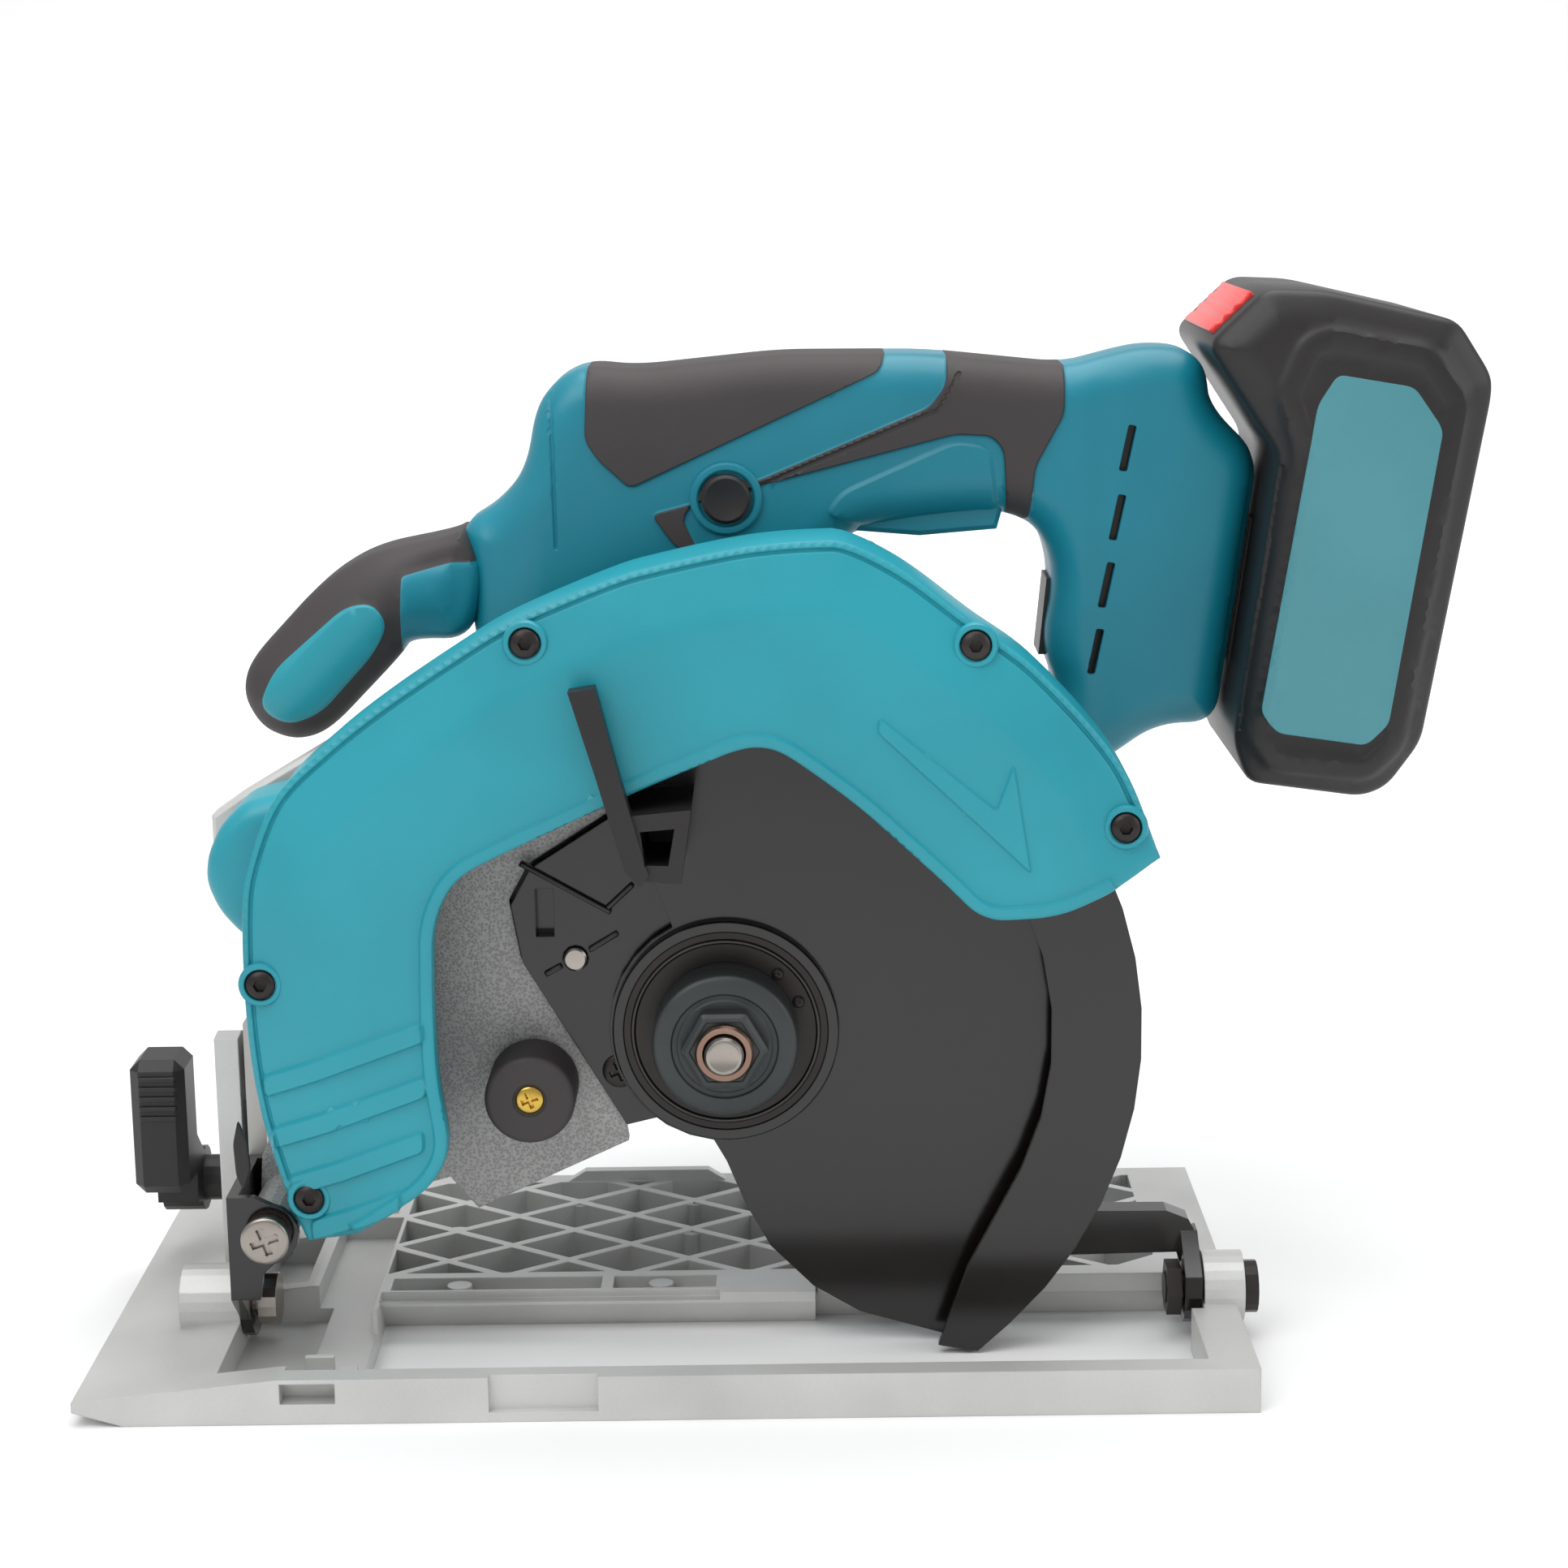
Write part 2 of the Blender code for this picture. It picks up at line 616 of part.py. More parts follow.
def make_cover():
    """Make the upper guard cover: a face plate with a wall round its outer side."""
    outline = COVER_OUTER + COVER_INNER
    cover = loft(
        "guard_cover",
        [(COVER_Y - 2.0, inset(outline, 5.0)), (COVER_Y, outline), (COVER_FAR, outline)],
        TEAL,
    )
    wall_side = inset(outline, COVER_WALL)[: len(COVER_OUTER)]
    open_side = inset(outline, -3.0)[len(COVER_OUTER) :]
    hollow = plate("cover_hollow", wall_side + open_side, COVER_Y + 2.0, COVER_FAR + 1.0)
    pillars = [
        drum(f"pillar_{i}", "y", (x, COVER_Y + 1.0, z), COVER_FAR - COVER_Y - 1.2, 4.0, sides=12)
        for i, (x, z) in enumerate(COVER_SCREWS[:4])
    ]
    screw_holes = [
        drum(f"screw_hole_{i}", "y", (x, COVER_Y - 5.0, z), 15.0, 2.1, sides=8)
        for i, (x, z) in enumerate(COVER_SCREWS)
    ]
    seats = [
        drum(f"screw_seat_{i}", "y", (x, COVER_Y - 5.0, z), 4.2, 4.4, sides=12)
        for i, (x, z) in enumerate(COVER_SCREWS)
    ]
    cut(cover, hollow)
    join(cover, merged("cover_pillars", pillars))
    return cut(cover, merged("cover_holes", screw_holes), merged("cover_seats", seats))


def make_cover_screws():
    """Make the socket screws of the cover, one node each."""
    screws = []
    for i, (x, z) in enumerate(COVER_SCREWS):
        profile = [(0.0, 12.0), (1.8, 12.0), (1.8, 3.2), (3.7, 3.2), (3.7, 0.6), (3.0, 0.0)]
        profile += [(1.7, 0.0), (1.7, 1.8), (0.0, 1.8)]
        screws.append(turned(f"cover_screw_{i + 1}", "y", (x, COVER_Y - 4.2, z), profile, BLACK, 12))
    return screws


def case_outline():
    """Return the outline of the blade case casting: an arch beside the cover."""
    top = inset(COVER_OUTER + COVER_INNER, 1.5)[3 : len(COVER_OUTER) - 2]
    eye = arc(DEPTH_X, DEPTH_Z, 5.9, -80.0, -190.0, 6)
    rear = [(236.5, 158.0), (240.0, 128.0), (196.0, 118.5), (183.0, 130.5), (168.0, 142.5), (150.0, 147.0)]
    low = [(129.2, 50.8), (91.4, 33.7), (84.6, 41.9), (70.0, 38.0), (56.0, 31.0)]
    return eye + [(38.0, 48.0), (43.4, 60.0), (42.9, 72.0)] + top + rear + RECESS + low


def make_blade_case():
    """Make the cast blade case with its pivot eye, rim and screw bosses."""
    outline = case_outline()
    case = plate("blade_case", outline, CASE_Y, 59.0, SAND)
    eye = drum("eye", "y", (DEPTH_X, 31.6, DEPTH_Z), 26.0, 6.3, sides=16)
    rim_outer = inset(COVER_OUTER + COVER_INNER, 1.5)[4 : len(COVER_OUTER) - 2]
    rim_inner = inset(COVER_OUTER + COVER_INNER, 4.5)[4 : len(COVER_OUTER) - 2]
    rim = plate("case_rim", rim_outer + rim_inner[::-1], 51.9, 57.0)
    stopper_post = drum("stopper_post", "y", (106.4, 54.0, 66.8), 3.0, 6.0, sides=12)
    join(case, eye, rim, stopper_post)
    bores = [
        drum("eye_bore", "y", (DEPTH_X, 30.0, DEPTH_Z), 32.0, 4.3, sides=12),
        drum("guide_bolt_bore", "y", (GUIDE_BOLT[0], 50.0, GUIDE_BOLT[1]), 12.0, 3.1, sides=12),
        drum("stopper_bore", "y", (106.4, 50.0, 66.8), 12.0, 1.9, sides=8),
    ]
    return cut(case, merged("case_bores", bores))



def gear_outline():
    """Return the outline of the gear housing, with its recess edge clear of the case."""
    left = [(x + 0.7, z - 0.6) for x, z in RECESS]
    top = [(165.0, 140.5), (150.0, 145.5)]
    return arc(SPINDLE_X, SPINDLE_Z, GEAR_CASE_R, -118.0, 30.0, 14) + [(181.0, 112.0)] + top + left


def gear_teeth(name, x, z, teeth, module, near, far, finish, turn):
    """Make a spur gear: tapered teeth on a pitch circle of half the module times the teeth."""
    pitch = module * teeth / 2
    root = pitch - 1.15 * module
    tip = pitch + 0.62 * module
    points = []
    for i in range(teeth):
        for share, radius in ((-0.25, root), (-0.11, tip), (0.11, tip), (0.25, root)):
            points.append(polar(x, z, radius, turn + (i + share) * 360.0 / teeth))
    return plate(name, points, near, far, finish)


GEAR_TEETH = 40
FAN_BLADES = 9
PINION_TEETH = 8
GEAR_GAP = math.hypot(MOTOR_X - SPINDLE_X, MOTOR_Z - SPINDLE_Z)
GEAR_MODULE = GEAR_GAP * 2.0 / (GEAR_TEETH + PINION_TEETH)
GEAR_LINE = math.degrees(math.atan2(MOTOR_Z - SPINDLE_Z, MOTOR_X - SPINDLE_X))


def make_gear_housing():
    """Make the black gear housing: a cup that holds the front bearing and both gears."""
    housing = plate("gear_housing", gear_outline(), 51.7, GEAR_CASE_FAR, BLACK)
    lug = drum("lug", "y", (127.6, 52.4, 69.8), 6.0, 5.5, sides=14)
    join(housing, lug)
    cut(
        housing,
        drum("gear_room", "y", (SPINDLE_X, 60.4, SPINDLE_Z), 8.0, 23.4),
        drum("pinion_room", "y", (MOTOR_X, 60.4, MOTOR_Z), 8.0, 7.0, sides=16),
        drum("front_bearing_seat", "y", (SPINDLE_X, 53.0, SPINDLE_Z), 9.0, 15.3),
        drum("spindle_way", "y", (SPINDLE_X, 50.0, SPINDLE_Z), 6.0, 8.5),
        drum("lock_way", "y", (LOCK_PIN[0], 50.0, LOCK_PIN[1]), 18.0, 3.2, sides=12),
        box("recess_slot", (108.0, 51.0, 104.0), (112.5, 56.0, 116.0)),
    )
    return housing


def make_gear_train():
    """Make the pieces that the gear housing holds, and the retainer in front of it."""
    retainer = turned(
        "bearing_retainer",
        "y",
        (SPINDLE_X, 45.3, SPINDLE_Z),
        [(BOSS_R - 0.4, 6.1), (BOSS_R - 0.4, 1.9), (26.5, 1.9), (26.5, 0.0), (8.6, 0.0), (8.6, 6.1)],
        BLACK,
        28,
    )
    front = ring("spindle_bearing_front", "y", (SPINDLE_X, 53.3, SPINDLE_Z), 7.8, 15.0, 6.5, STEEL, 20)
    rear = ring("spindle_bearing_rear", "y", (SPINDLE_X, 68.0, SPINDLE_Z), 7.8, 15.0, 6.5, STEEL, 20)
    return [retainer, front, rear]


def make_stopper():
    """Make the rubber stopper of the lower guard and its brass screw."""
    stopper = ring("rubber_stopper", "y", (106.4, 37.4, 66.8), 3.8, 11.0, 16.3, RUBBER)
    profile = [(0.0, 16.0), (1.6, 16.0), (1.6, 2.0), (3.4, 2.0), (3.4, 0.6), (2.6, 0.0), (0.0, 0.0)]
    screw = turned("stopper_screw", "y", (106.4, 37.6, 66.8), profile, BRASS, 12)
    return [stopper, screw]


def guard_outline():
    """Return the lower guard's side outline: rim, trailing edge, hub and curved leading edge."""
    rim = arc(SPINDLE_X, SPINDLE_Z, GUARD_R, GUARD_SPAN[0], GUARD_SPAN[1], 22)
    hub = arc(SPINDLE_X, SPINDLE_Z, 28.5, GUARD_SPAN[1] + 4.0, 263.0, 12)
    leading = [(153.6, 47.5), (158.0, 36.5), (164.1, 25.4), (174.5, 14.9), (186.1, 8.0), (206.0, 2.2)]
    return rim + hub + leading + [(214.7, 0.7)]


def make_lower_guard():
    """Make the swinging lower guard: far wall, rim and the near crescent."""
    guard = plate("lower_guard", guard_outline(), GUARD_Y, GUARD_FAR, GLOSSY)
    start, end = GUARD_SPAN
    inner = arc(SPINDLE_X, SPINDLE_Z, GUARD_R - 1.8, start - 60.0, end + 20.0, 26)
    room = plate("guard_room", inner + [(SPINDLE_X - 60.0, SPINDLE_Z - 20.0)], 40.4, 47.6)
    crescent = arc(SPINDLE_X, SPINDLE_Z, 79.0, start + 22.0, end + 20.0, 16)
    lead = [(150.0, 0.0), (202.0, -6.0), (212.0, 22.0)]
    window = plate("guard_window", crescent + [(SPINDLE_X - 70.0, SPINDLE_Z)] + lead, 36.0, 41.0)
    bore = drum("guard_bore", "y", (SPINDLE_X, 36.0, SPINDLE_Z), 16.0, BOSS_R)
    return cut(guard, room, window, bore)


def make_guard_lever():
    """Make the retracting lever with its web through the guard's opening."""
    arm = [(119.8, 170.3), (126.0, 171.2), (131.4, 149.2), (137.5, 126.9), (135.5, 124.1), (131.9, 128.0)]
    arm += [(125.8, 150.0)]
    lever = plate("guard_lever", arm, 17.5, 23.0, BLACK)
    web = plate("lever_web", [(131.0, 140.5), (147.5, 142.0), (145.0, 124.5), (134.0, 125.5)], 19.0, 47.3)
    void = plate("web_void", [(135.6, 137.0), (143.6, 137.6), (142.0, 128.8), (136.6, 129.0)], 17.0, 44.0)
    join(lever, web)
    return cut(lever, void)


def make_spindle_set():
    """Make what turns with the blade: spindle, flanges, bolt and the large gear."""
    x, z = SPINDLE_X, SPINDLE_Z
    shaft = [(0.0, 41.5), (7.3, 41.5), (7.3, 0.0), (4.3, 0.0), (4.3, 22.0), (0.0, 22.0)]
    spindle = turned("spindle", "y", (x, 33.6, z), shaft, STEEL, 20)
    inner = turned(
        "inner_flange", "y", (x, 41.4, z), [(17.5, 3.4), (17.5, 0.0), (7.6, 0.0), (7.6, 3.4)], STEEL, 28
    )
    outer_profile = [(17.5, 9.0), (17.5, 1.2), (16.3, 0.0), (4.4, 0.0), (4.4, 1.4), (7.7, 1.4), (7.7, 9.0)]
    outer = turned("outer_flange", "y", (x, 32.0, z), outer_profile, BLACK, 28)
    head = drum("blade_bolt", "y", (x, 27.2, z), 4.6, 9.8, STEEL, 6)
    shank = drum("bolt_shank", "y", (x, 22.6, z), 28.0, 3.9, sides=16)
    join(head, shank)
    gear = gear_teeth("drive_gear", x, z, GEAR_TEETH, GEAR_MODULE, 61.0, 65.4, STEEL, GEAR_LINE)
    cut(gear, drum("gear_bore", "y", (x, 60.0, z), 12.0, 7.6, sides=20))
    return [spindle, inner, outer, head, gear]


def make_rotor_set():
    """Make what turns with the motor: rotor and shaft, pinion and fan."""
    x, z = MOTOR_X, MOTOR_Z
    profile = [(0.0, 92.0), (4.0, 92.0), (4.0, 66.0), (22.0, 66.0), (22.0, 28.0), (4.0, 28.0)]
    profile += [(4.0, 0.0), (0.0, 0.0)]
    rotor = turned("motor_rotor", "y", (x, 66.4, z), profile, COPPER, 20)
    half_tooth = 180.0 / PINION_TEETH
    pinion = gear_teeth(
        "pinion", x, z, PINION_TEETH, GEAR_MODULE, 61.0, 65.6, STEEL, GEAR_LINE + 180.0 + half_tooth
    )
    blades = []
    for i in range(FAN_BLADES):
        blade = box(f"fan_blade_{i}", (x + 10.0, 139.5, z - 0.9), (x + 33.0, 147.0, z + 0.9))
        bpy.context.view_layer.update()
        centre = at(x, 0.0, z)
        turn = Matrix.Rotation(math.radians(360.0 * i / FAN_BLADES), 4, "Y")
        spin = Matrix.Translation(centre) @ turn @ Matrix.Translation(-centre)
        blade.matrix_world = spin @ blade.matrix_world
        bpy.context.view_layer.update()
        blades.append(blade)
    fan = ring("cooling_fan", "y", (x, 138.0, z), 4.4, 33.0, 2.0, BLACK)
    join(fan, ring("fan_hub", "y", (x, 138.0, z), 4.4, 12.0, 9.0), merged("fan_blades", blades))
    return [rotor, pinion, fan]


# Motor, housings, handles and battery -----------------------------------------------------------

HOUSING_NEAR_Y = 73.0
HOUSING_FAR_Y = 107.0
SEAM_GAP = 0.3
TOP_LINE = [(93.0, 171.0), (89.3, 200.8), (99.4, 206.7), (106.6, 215.5), (109.4, 230.2), (114.8, 237.0)]
TOP_LINE += [(122.1, 240.4), (133.6, 239.0), (169.2, 242.3), (205.0, 242.0), (239.2, 238.2)]
TOP_LINE += [(249.7, 241.1), (258.4, 242.9), (268.1, 242.3), (273.4, 237.6), (274.6, 228.0)]
FOOT_LINE = [(286.6, 216.0), (276.8, 149.3), (262.0, 149.0), (250.0, 140.6), (222.0, 123.0), (196.0, 108.0)]
FINGER_GAP = [(186.0, 199.0), (204.0, 202.0), (224.0, 203.5), (233.0, 198.5)]
FINGER_GAP += [(236.2, 186.0), (233.0, 170.0), (238.0, 157.0), (226.0, 147.0)]
FINGER_GAP += [(203.0, 139.0), (190.0, 146.0), (180.0, 164.0), (176.0, 188.0)]
BATTERY = [(309.5, 134.8), (315.7, 137.3), (323.6, 148.2), (338.2, 231.6), (338.0, 236.4), (329.7, 249.4)]
BATTERY += [(298.5, 256.8), (284.3, 257.5), (270.5, 244.5), (287.8, 218.0), (277.9, 149.0), (281.4, 138.8)]
GRIP_LINE = [(87.7, 199.0), (67.3, 195.2), (54.9, 187.8), (36.0, 168.0), (34.4, 159.7), (38.9, 151.4)]
GRIP_LINE += [(47.0, 148.1), (55.3, 150.1), (74.4, 169.5), (77.0, 173.5), (87.0, 173.5)]


def make_motor_housing():
    """Make the motor can with the rear spindle bearing seat, and its vented end cap."""
    can = drum("motor_housing", "y", (MOTOR_X, 66.3, MOTOR_Z), 84.2, MOTOR_R, TEAL, 28)
    seat_boss = drum("seat_boss", "y", (SPINDLE_X, 66.3, SPINDLE_Z), 12.0, 19.0)
    join(can, seat_boss)
    cut(
        can,
        drum("motor_room", "y", (MOTOR_X, 80.0, MOTOR_Z), 72.0, 36.5),
        drum("rear_bearing_seat", "y", (SPINDLE_X, 65.0, SPINDLE_Z), 10.5, 15.3),
        drum("shaft_way", "y", (MOTOR_X, 64.0, MOTOR_Z), 18.0, 5.0, sides=16),
    )
    cap = drum("motor_end_cap", "y", (MOTOR_X, 150.9, MOTOR_Z), 21.1, 36.0, BLACK, 28)
    cap_rim = drum("cap_rim", "y", (MOTOR_X, 150.9, MOTOR_Z), 14.0, MOTOR_R, sides=28)
    join(cap, cap_rim)
    slots = []
    for i in range(5):
        z = MOTOR_Z - 20.0 + 10.0 * i
        slots.append(box(f"vent_{i}", (MOTOR_X - 22.0, 166.0, z - 1.5), (MOTOR_X + 22.0, 174.0, z + 1.5)))
    cap_room = drum("cap_room", "y", (MOTOR_X, 149.0, MOTOR_Z), 20.0, 32.5)
    cut(cap, cap_room, merged("vent_cutter", slots))
    stator = ring("motor_stator", "y", (MOTOR_X, 92.0, MOTOR_Z), 23.5, 36.0, 42.0, COPPER)
    return [can, cap, stator]


def half_outline():
    """Return the XZ outline of the handle housing, wrapped round the motor can."""
    around = arc(MOTOR_X, MOTOR_Z, MOTOR_R + 1.0, -6.0, 150.0, 14)
    return TOP_LINE + FOOT_LINE + around + [(98.0, 150.0)]


def make_half(name, near, far, outer_first):
    """Make one half of the handle housing with its finger gap, pockets and button bores."""
    outline = half_outline()
    edge = 3.0
    if outer_first:
        sections = [(near, inset(outline, edge)), (near + edge, outline), (far, outline)]
    else:
        sections = [(near, outline), (far - edge, outline), (far, inset(outline, edge))]
    half = loft(name, sections, TEAL)
    gap = plate(name + "_gap", FINGER_GAP, near - 1.0, far + 1.0)
    pocket_near = 76.6 if outer_first else near - 1.0
    pocket_far = far + 1.0 if outer_first else 103.4
    trigger_room = [(175.0, 196.0), (175.0, 212.0), (184.0, 216.0), (225.5, 221.5), (227.5, 196.0)]
    switch_room = [(184.0, 215.0), (184.0, 236.0), (226.0, 236.0), (226.0, 215.0)]
    board_room = [(246.0, 160.0), (252.0, 222.0), (270.0, 222.0), (262.0, 160.0)]
    mode_room = [(228.0, 165.5), (240.0, 165.5), (241.5, 187.5), (228.0, 187.5)]
    rooms = [
        plate(name + "_trigger", trigger_room, pocket_near, pocket_far),
        plate(name + "_board", board_room, pocket_near, pocket_far),
        plate(name + "_mode", mode_room, 81.5, 98.5),
        drum(name + "_lock", "y", (155.8, near - 2.0, 208.0), far - near + 4.0, 6.4, sides=16),
    ]
    switch = plate(name + "_switch", switch_room, pocket_near + 0.6, pocket_far - 0.6)
    return cut(half, gap, *rooms, switch)


def make_housing():
    """Make both housing halves and the rubber pieces on them."""
    seam = HANDLE_Y
    near = make_half("housing_near", HOUSING_NEAR_Y, seam - SEAM_GAP / 2, True)
    far = make_half("housing_far", seam + SEAM_GAP / 2, HOUSING_FAR_Y, False)
    grip = [(124.0, 238.0), (190.0, 238.0), (190.0, 236.0), (134.0, 212.5), (126.0, 219.0)]
    side = [(209.0, 238.0), (236.0, 236.0), (236.0, 227.0), (229.0, 214.5), (226.0, 207.0)]
    side += [(222.0, 222.3), (212.0, 222.8), (166.0, 211.5), (166.0, 216.5)]
    pieces = [near, far]
    for tag, low, high in (("near", 70.6, 72.7), ("far", 107.3, 109.4)):
        pieces.append(plate(f"top_grip_{tag}", grip, low, high, RUBBER))
        pieces.append(plate(f"side_grip_{tag}", side, low, high, RUBBER))
    return pieces


def make_front_handle():
    """Make the front handle: a core on the housing and a rubber sleeve over its end."""
    core = rounded_plate("front_handle_core", GRIP_LINE, 73.0, 107.0, 3.0, DARK_TEAL)
    near = rounded_plate("front_handle_near", inset(GRIP_LINE, 2.0), 70.0, 72.7, 1.0, RUBBER)
    far = rounded_plate("front_handle_far", inset(GRIP_LINE, 2.0), 107.3, 110.0, 1.0, RUBBER)
    return [core, near, far]


def make_electrics():
    """Make the switch, the controller board and the battery terminal block."""
    switch = box("switch_body", (187.0, 80.0, 222.5), (222.0, 100.0, 234.0), BLACK, 1.0)
    board_line = [(250.5, 164.0), (256.0, 218.0), (259.0, 218.0), (253.5, 164.0)]
    board = plate("controller_board", board_line, 80.0, 100.0, BOARD)
    terminal_line = [(279.6, 164.5), (284.6, 163.8), (289.9, 199.6), (284.9, 200.3)]
    terminals = plate("terminal_block", terminal_line, 82.0, 98.0, BLACK)
    return [switch, board, terminals]


def make_trigger():
    """Make the trigger paddle."""
    outline = [(177.0, 207.0), (181.0, 199.6), (203.0, 197.6)]
    outline += [(222.0, 199.0), (224.0, 206.0), (222.0, 214.0)]
    return loft(
        "trigger",
        [
            (77.4, inset(outline + [(186.0, 211.0)], 1.2)),
            (78.6, outline + [(186.0, 211.0)]),
            (101.4, outline + [(186.0, 211.0)]),
            (102.6, inset(outline + [(186.0, 211.0)], 1.2)),
        ],
        DARK_TEAL,
    )


def make_buttons():
    """Make the lock-off pin, the mode button and the shaft lock."""
    pin_profile = [(0.0, 40.0), (5.2, 40.0), (6.0, 39.2), (6.0, 0.8), (5.2, 0.0), (0.0, 0.0)]
    lock_off = turned("lock_off_button", "y", (155.8, 70.0, 208.0), pin_profile, BLACK, 16)
    mode_line = [(232.6, 167.0), (236.8, 167.0), (238.8, 186.0), (234.6, 186.0)]
    mode = plate("mode_button", mode_line, 82.0, 98.0, BLACK)
    lock_profile = [(0.0, 12.2), (2.9, 12.2), (2.9, 0.5), (2.4, 0.0), (0.0, 0.0)]
    shaft_lock = turned("shaft_lock_button", "y", (LOCK_PIN[0], 50.4, LOCK_PIN[1]), lock_profile, STEEL, 14)
    return lock_off, mode, shaft_lock


def make_battery():
    """Make the battery with its terminal slot and red release."""
    core = [(52.0, inset(BATTERY, 5.0)), (57.0, BATTERY), (124.0, BATTERY), (129.0, inset(BATTERY, 5.0))]
    battery = loft("battery_pack", core, BLACK)
    slope = [(273.4, 130.0), (283.0, 128.4), (295.8, 205.2), (286.0, 206.0)]
    slot = plate("battery_slot", slope, 79.0, 101.0)
    room = [(270.0, 249.0), (281.0, 259.5), (292.5, 249.0), (281.0, 238.0)]
    cut(battery, slot, plate("latch_room", room, 65.6, 115.4))
    latch_line = [(271.9, 247.8), (281.6, 257.0), (289.2, 249.8), (279.6, 240.6)]
    latch = plate("battery_latch", latch_line, 66.0, 115.0, RED)
    return battery, latch


def make_depth_lever():
    """Make the lever that clamps the depth guide, on the far side of the slotted plate."""
    x, z = GUIDE_BOLT
    arm = [(x - 4, z + 7), (x + 36, z + 22), (x + 38, z + 15), (x + 6, z - 6)]
    lever = plate("depth_lever", arm, 63.0, 69.5, BLACK)
    hub = drum("depth_hub", "y", (x, 62.6, z), 7.4, 8.0, sides=16)
    join(lever, hub)
    cut(lever, drum("depth_bore", "y", (x, 61.0, z), 12.0, 3.2, sides=12))
    profile = [(0.0, 19.6), (3.0, 19.6), (3.0, 3.0), (5.0, 3.0), (5.0, 0.0), (0.0, 0.0)]
    bolt = turned("guide_clamp_bolt", "y", (x, 51.7, z), profile, STEEL, 12)
    return lever, bolt


def build_saw():
    """Make every piece and hang the moving ones on their joint axes."""
    make_base_group()
    tilt = pivot("bevel_axis", (18.0 + 280.0) / 2, BEVEL_Y, BEVEL_Z)
    hang(tilt, *make_tilt_frame())
    clamp_y, clamp_z = clamp_point()
    bevel_knob = pivot("bevel_lever_axis", 15.0, clamp_y, clamp_z, tilt)
    hang(bevel_knob, make_bevel_lever())
    depth = pivot("depth_axis", DEPTH_X, BEVEL_Y, DEPTH_Z, tilt)
    body = [make_cover(), *make_cover_screws(), make_blade_case(), make_gear_housing()]
    body += make_gear_train() + make_stopper() + make_motor_housing() + make_housing()
    body += make_front_handle() + make_electrics()
    lobe = [(44.8, 139.4), (34.3, 135.1), (30.9, 127.7), (30.3, 121.5), (33.2, 114.3), (39.4, 106.0)]
    lobe += [(39.9, 115.0), (42.0, 128.0)]
    body.append(rounded_plate("front_lobe", lobe, 37.0, 58.0, 1.0, TEAL))
    casting = [(28.2, 120.0), (28.2, 132.8), (35.5, 137.8), (88.0, 168.5), (96.0, 150.0), (102.0, 128.0)]
    casting += [(100.0, 112.0)]
    body.append(rounded_plate("front_casting", casting, 62.8, 72.2, 1.0, CAST))
    lever, bolt = make_depth_lever()
    hang(depth, *body, bolt)
    hang(pivot("depth_lever_axis", GUIDE_BOLT[0], 66.0, GUIDE_BOLT[1], depth), lever)
    spindle_axis = pivot("spindle_axis", SPINDLE_X, 50.0, SPINDLE_Z, depth)
    hang(spindle_axis, *make_spindle_set())
    guard_axis = pivot("guard_axis", SPINDLE_X, 50.0, SPINDLE_Z, depth)
    hang(guard_axis, make_lower_guard(), make_guard_lever())
    hang(pivot("motor_axis", MOTOR_X, 100.0, MOTOR_Z, depth), *make_rotor_set())
    hang(pivot("trigger_axis", 179.0, HANDLE_Y, 207.0, depth), make_trigger())
    lock_off, mode, shaft_lock = make_buttons()
    hang(pivot("lock_off_axis", 155.8, HANDLE_Y, 208.0, depth), lock_off)
    hang(pivot("mode_axis", 235.0, HANDLE_Y, 176.0, depth), mode)
    hang(pivot("shaft_lock_axis", LOCK_PIN[0], 56.0, LOCK_PIN[1], depth), shaft_lock)
    pack, latch = make_battery()
    battery_axis = pivot("battery_axis", 305.0, HANDLE_Y, 195.0, depth)
    hang(battery_axis, pack)
    hang(pivot("latch_axis", 280.0, HANDLE_Y, 249.0, battery_axis), latch)


build_saw()
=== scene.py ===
"""Looks of a cordless circular saw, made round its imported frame.

The frame gives every place. Each sub-assembly is a class that builds its surfaces and dresses them.
"""
import json
import logging
import math
from collections.abc import Callable
from dataclasses import dataclass, field, replace
from enum import Enum

import bmesh
import bpy
import numpy as np
from mathutils import Matrix, Vector
from mathutils.geometry import delaunay_2d_cdt, tessellate_polygon


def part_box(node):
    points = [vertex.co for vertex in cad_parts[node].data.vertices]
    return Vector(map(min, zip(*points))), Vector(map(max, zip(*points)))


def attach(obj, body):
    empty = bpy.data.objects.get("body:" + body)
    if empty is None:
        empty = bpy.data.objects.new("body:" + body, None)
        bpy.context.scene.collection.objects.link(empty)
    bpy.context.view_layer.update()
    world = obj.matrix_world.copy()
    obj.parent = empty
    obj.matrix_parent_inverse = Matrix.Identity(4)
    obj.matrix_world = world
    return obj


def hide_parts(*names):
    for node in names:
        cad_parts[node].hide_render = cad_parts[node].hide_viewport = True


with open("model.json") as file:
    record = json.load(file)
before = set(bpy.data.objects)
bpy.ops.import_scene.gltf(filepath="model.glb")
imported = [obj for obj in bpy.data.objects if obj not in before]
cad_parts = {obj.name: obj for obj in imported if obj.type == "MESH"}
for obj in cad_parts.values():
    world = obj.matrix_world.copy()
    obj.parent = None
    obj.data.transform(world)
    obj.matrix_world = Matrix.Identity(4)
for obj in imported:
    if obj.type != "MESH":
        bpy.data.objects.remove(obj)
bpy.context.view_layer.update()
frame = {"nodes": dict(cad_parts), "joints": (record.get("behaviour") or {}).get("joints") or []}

LOG = logging.getLogger("circular_saw")
MM = 0.001
ORIGIN = np.array(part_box("base_plate")[0])
Outline = np.ndarray
Height = Callable[[np.ndarray, np.ndarray, np.ndarray], np.ndarray]
Move = Callable[[np.ndarray], np.ndarray]
# Points less one of a softened corner on the cover's inner edge.
CORNER_STEPS = 6
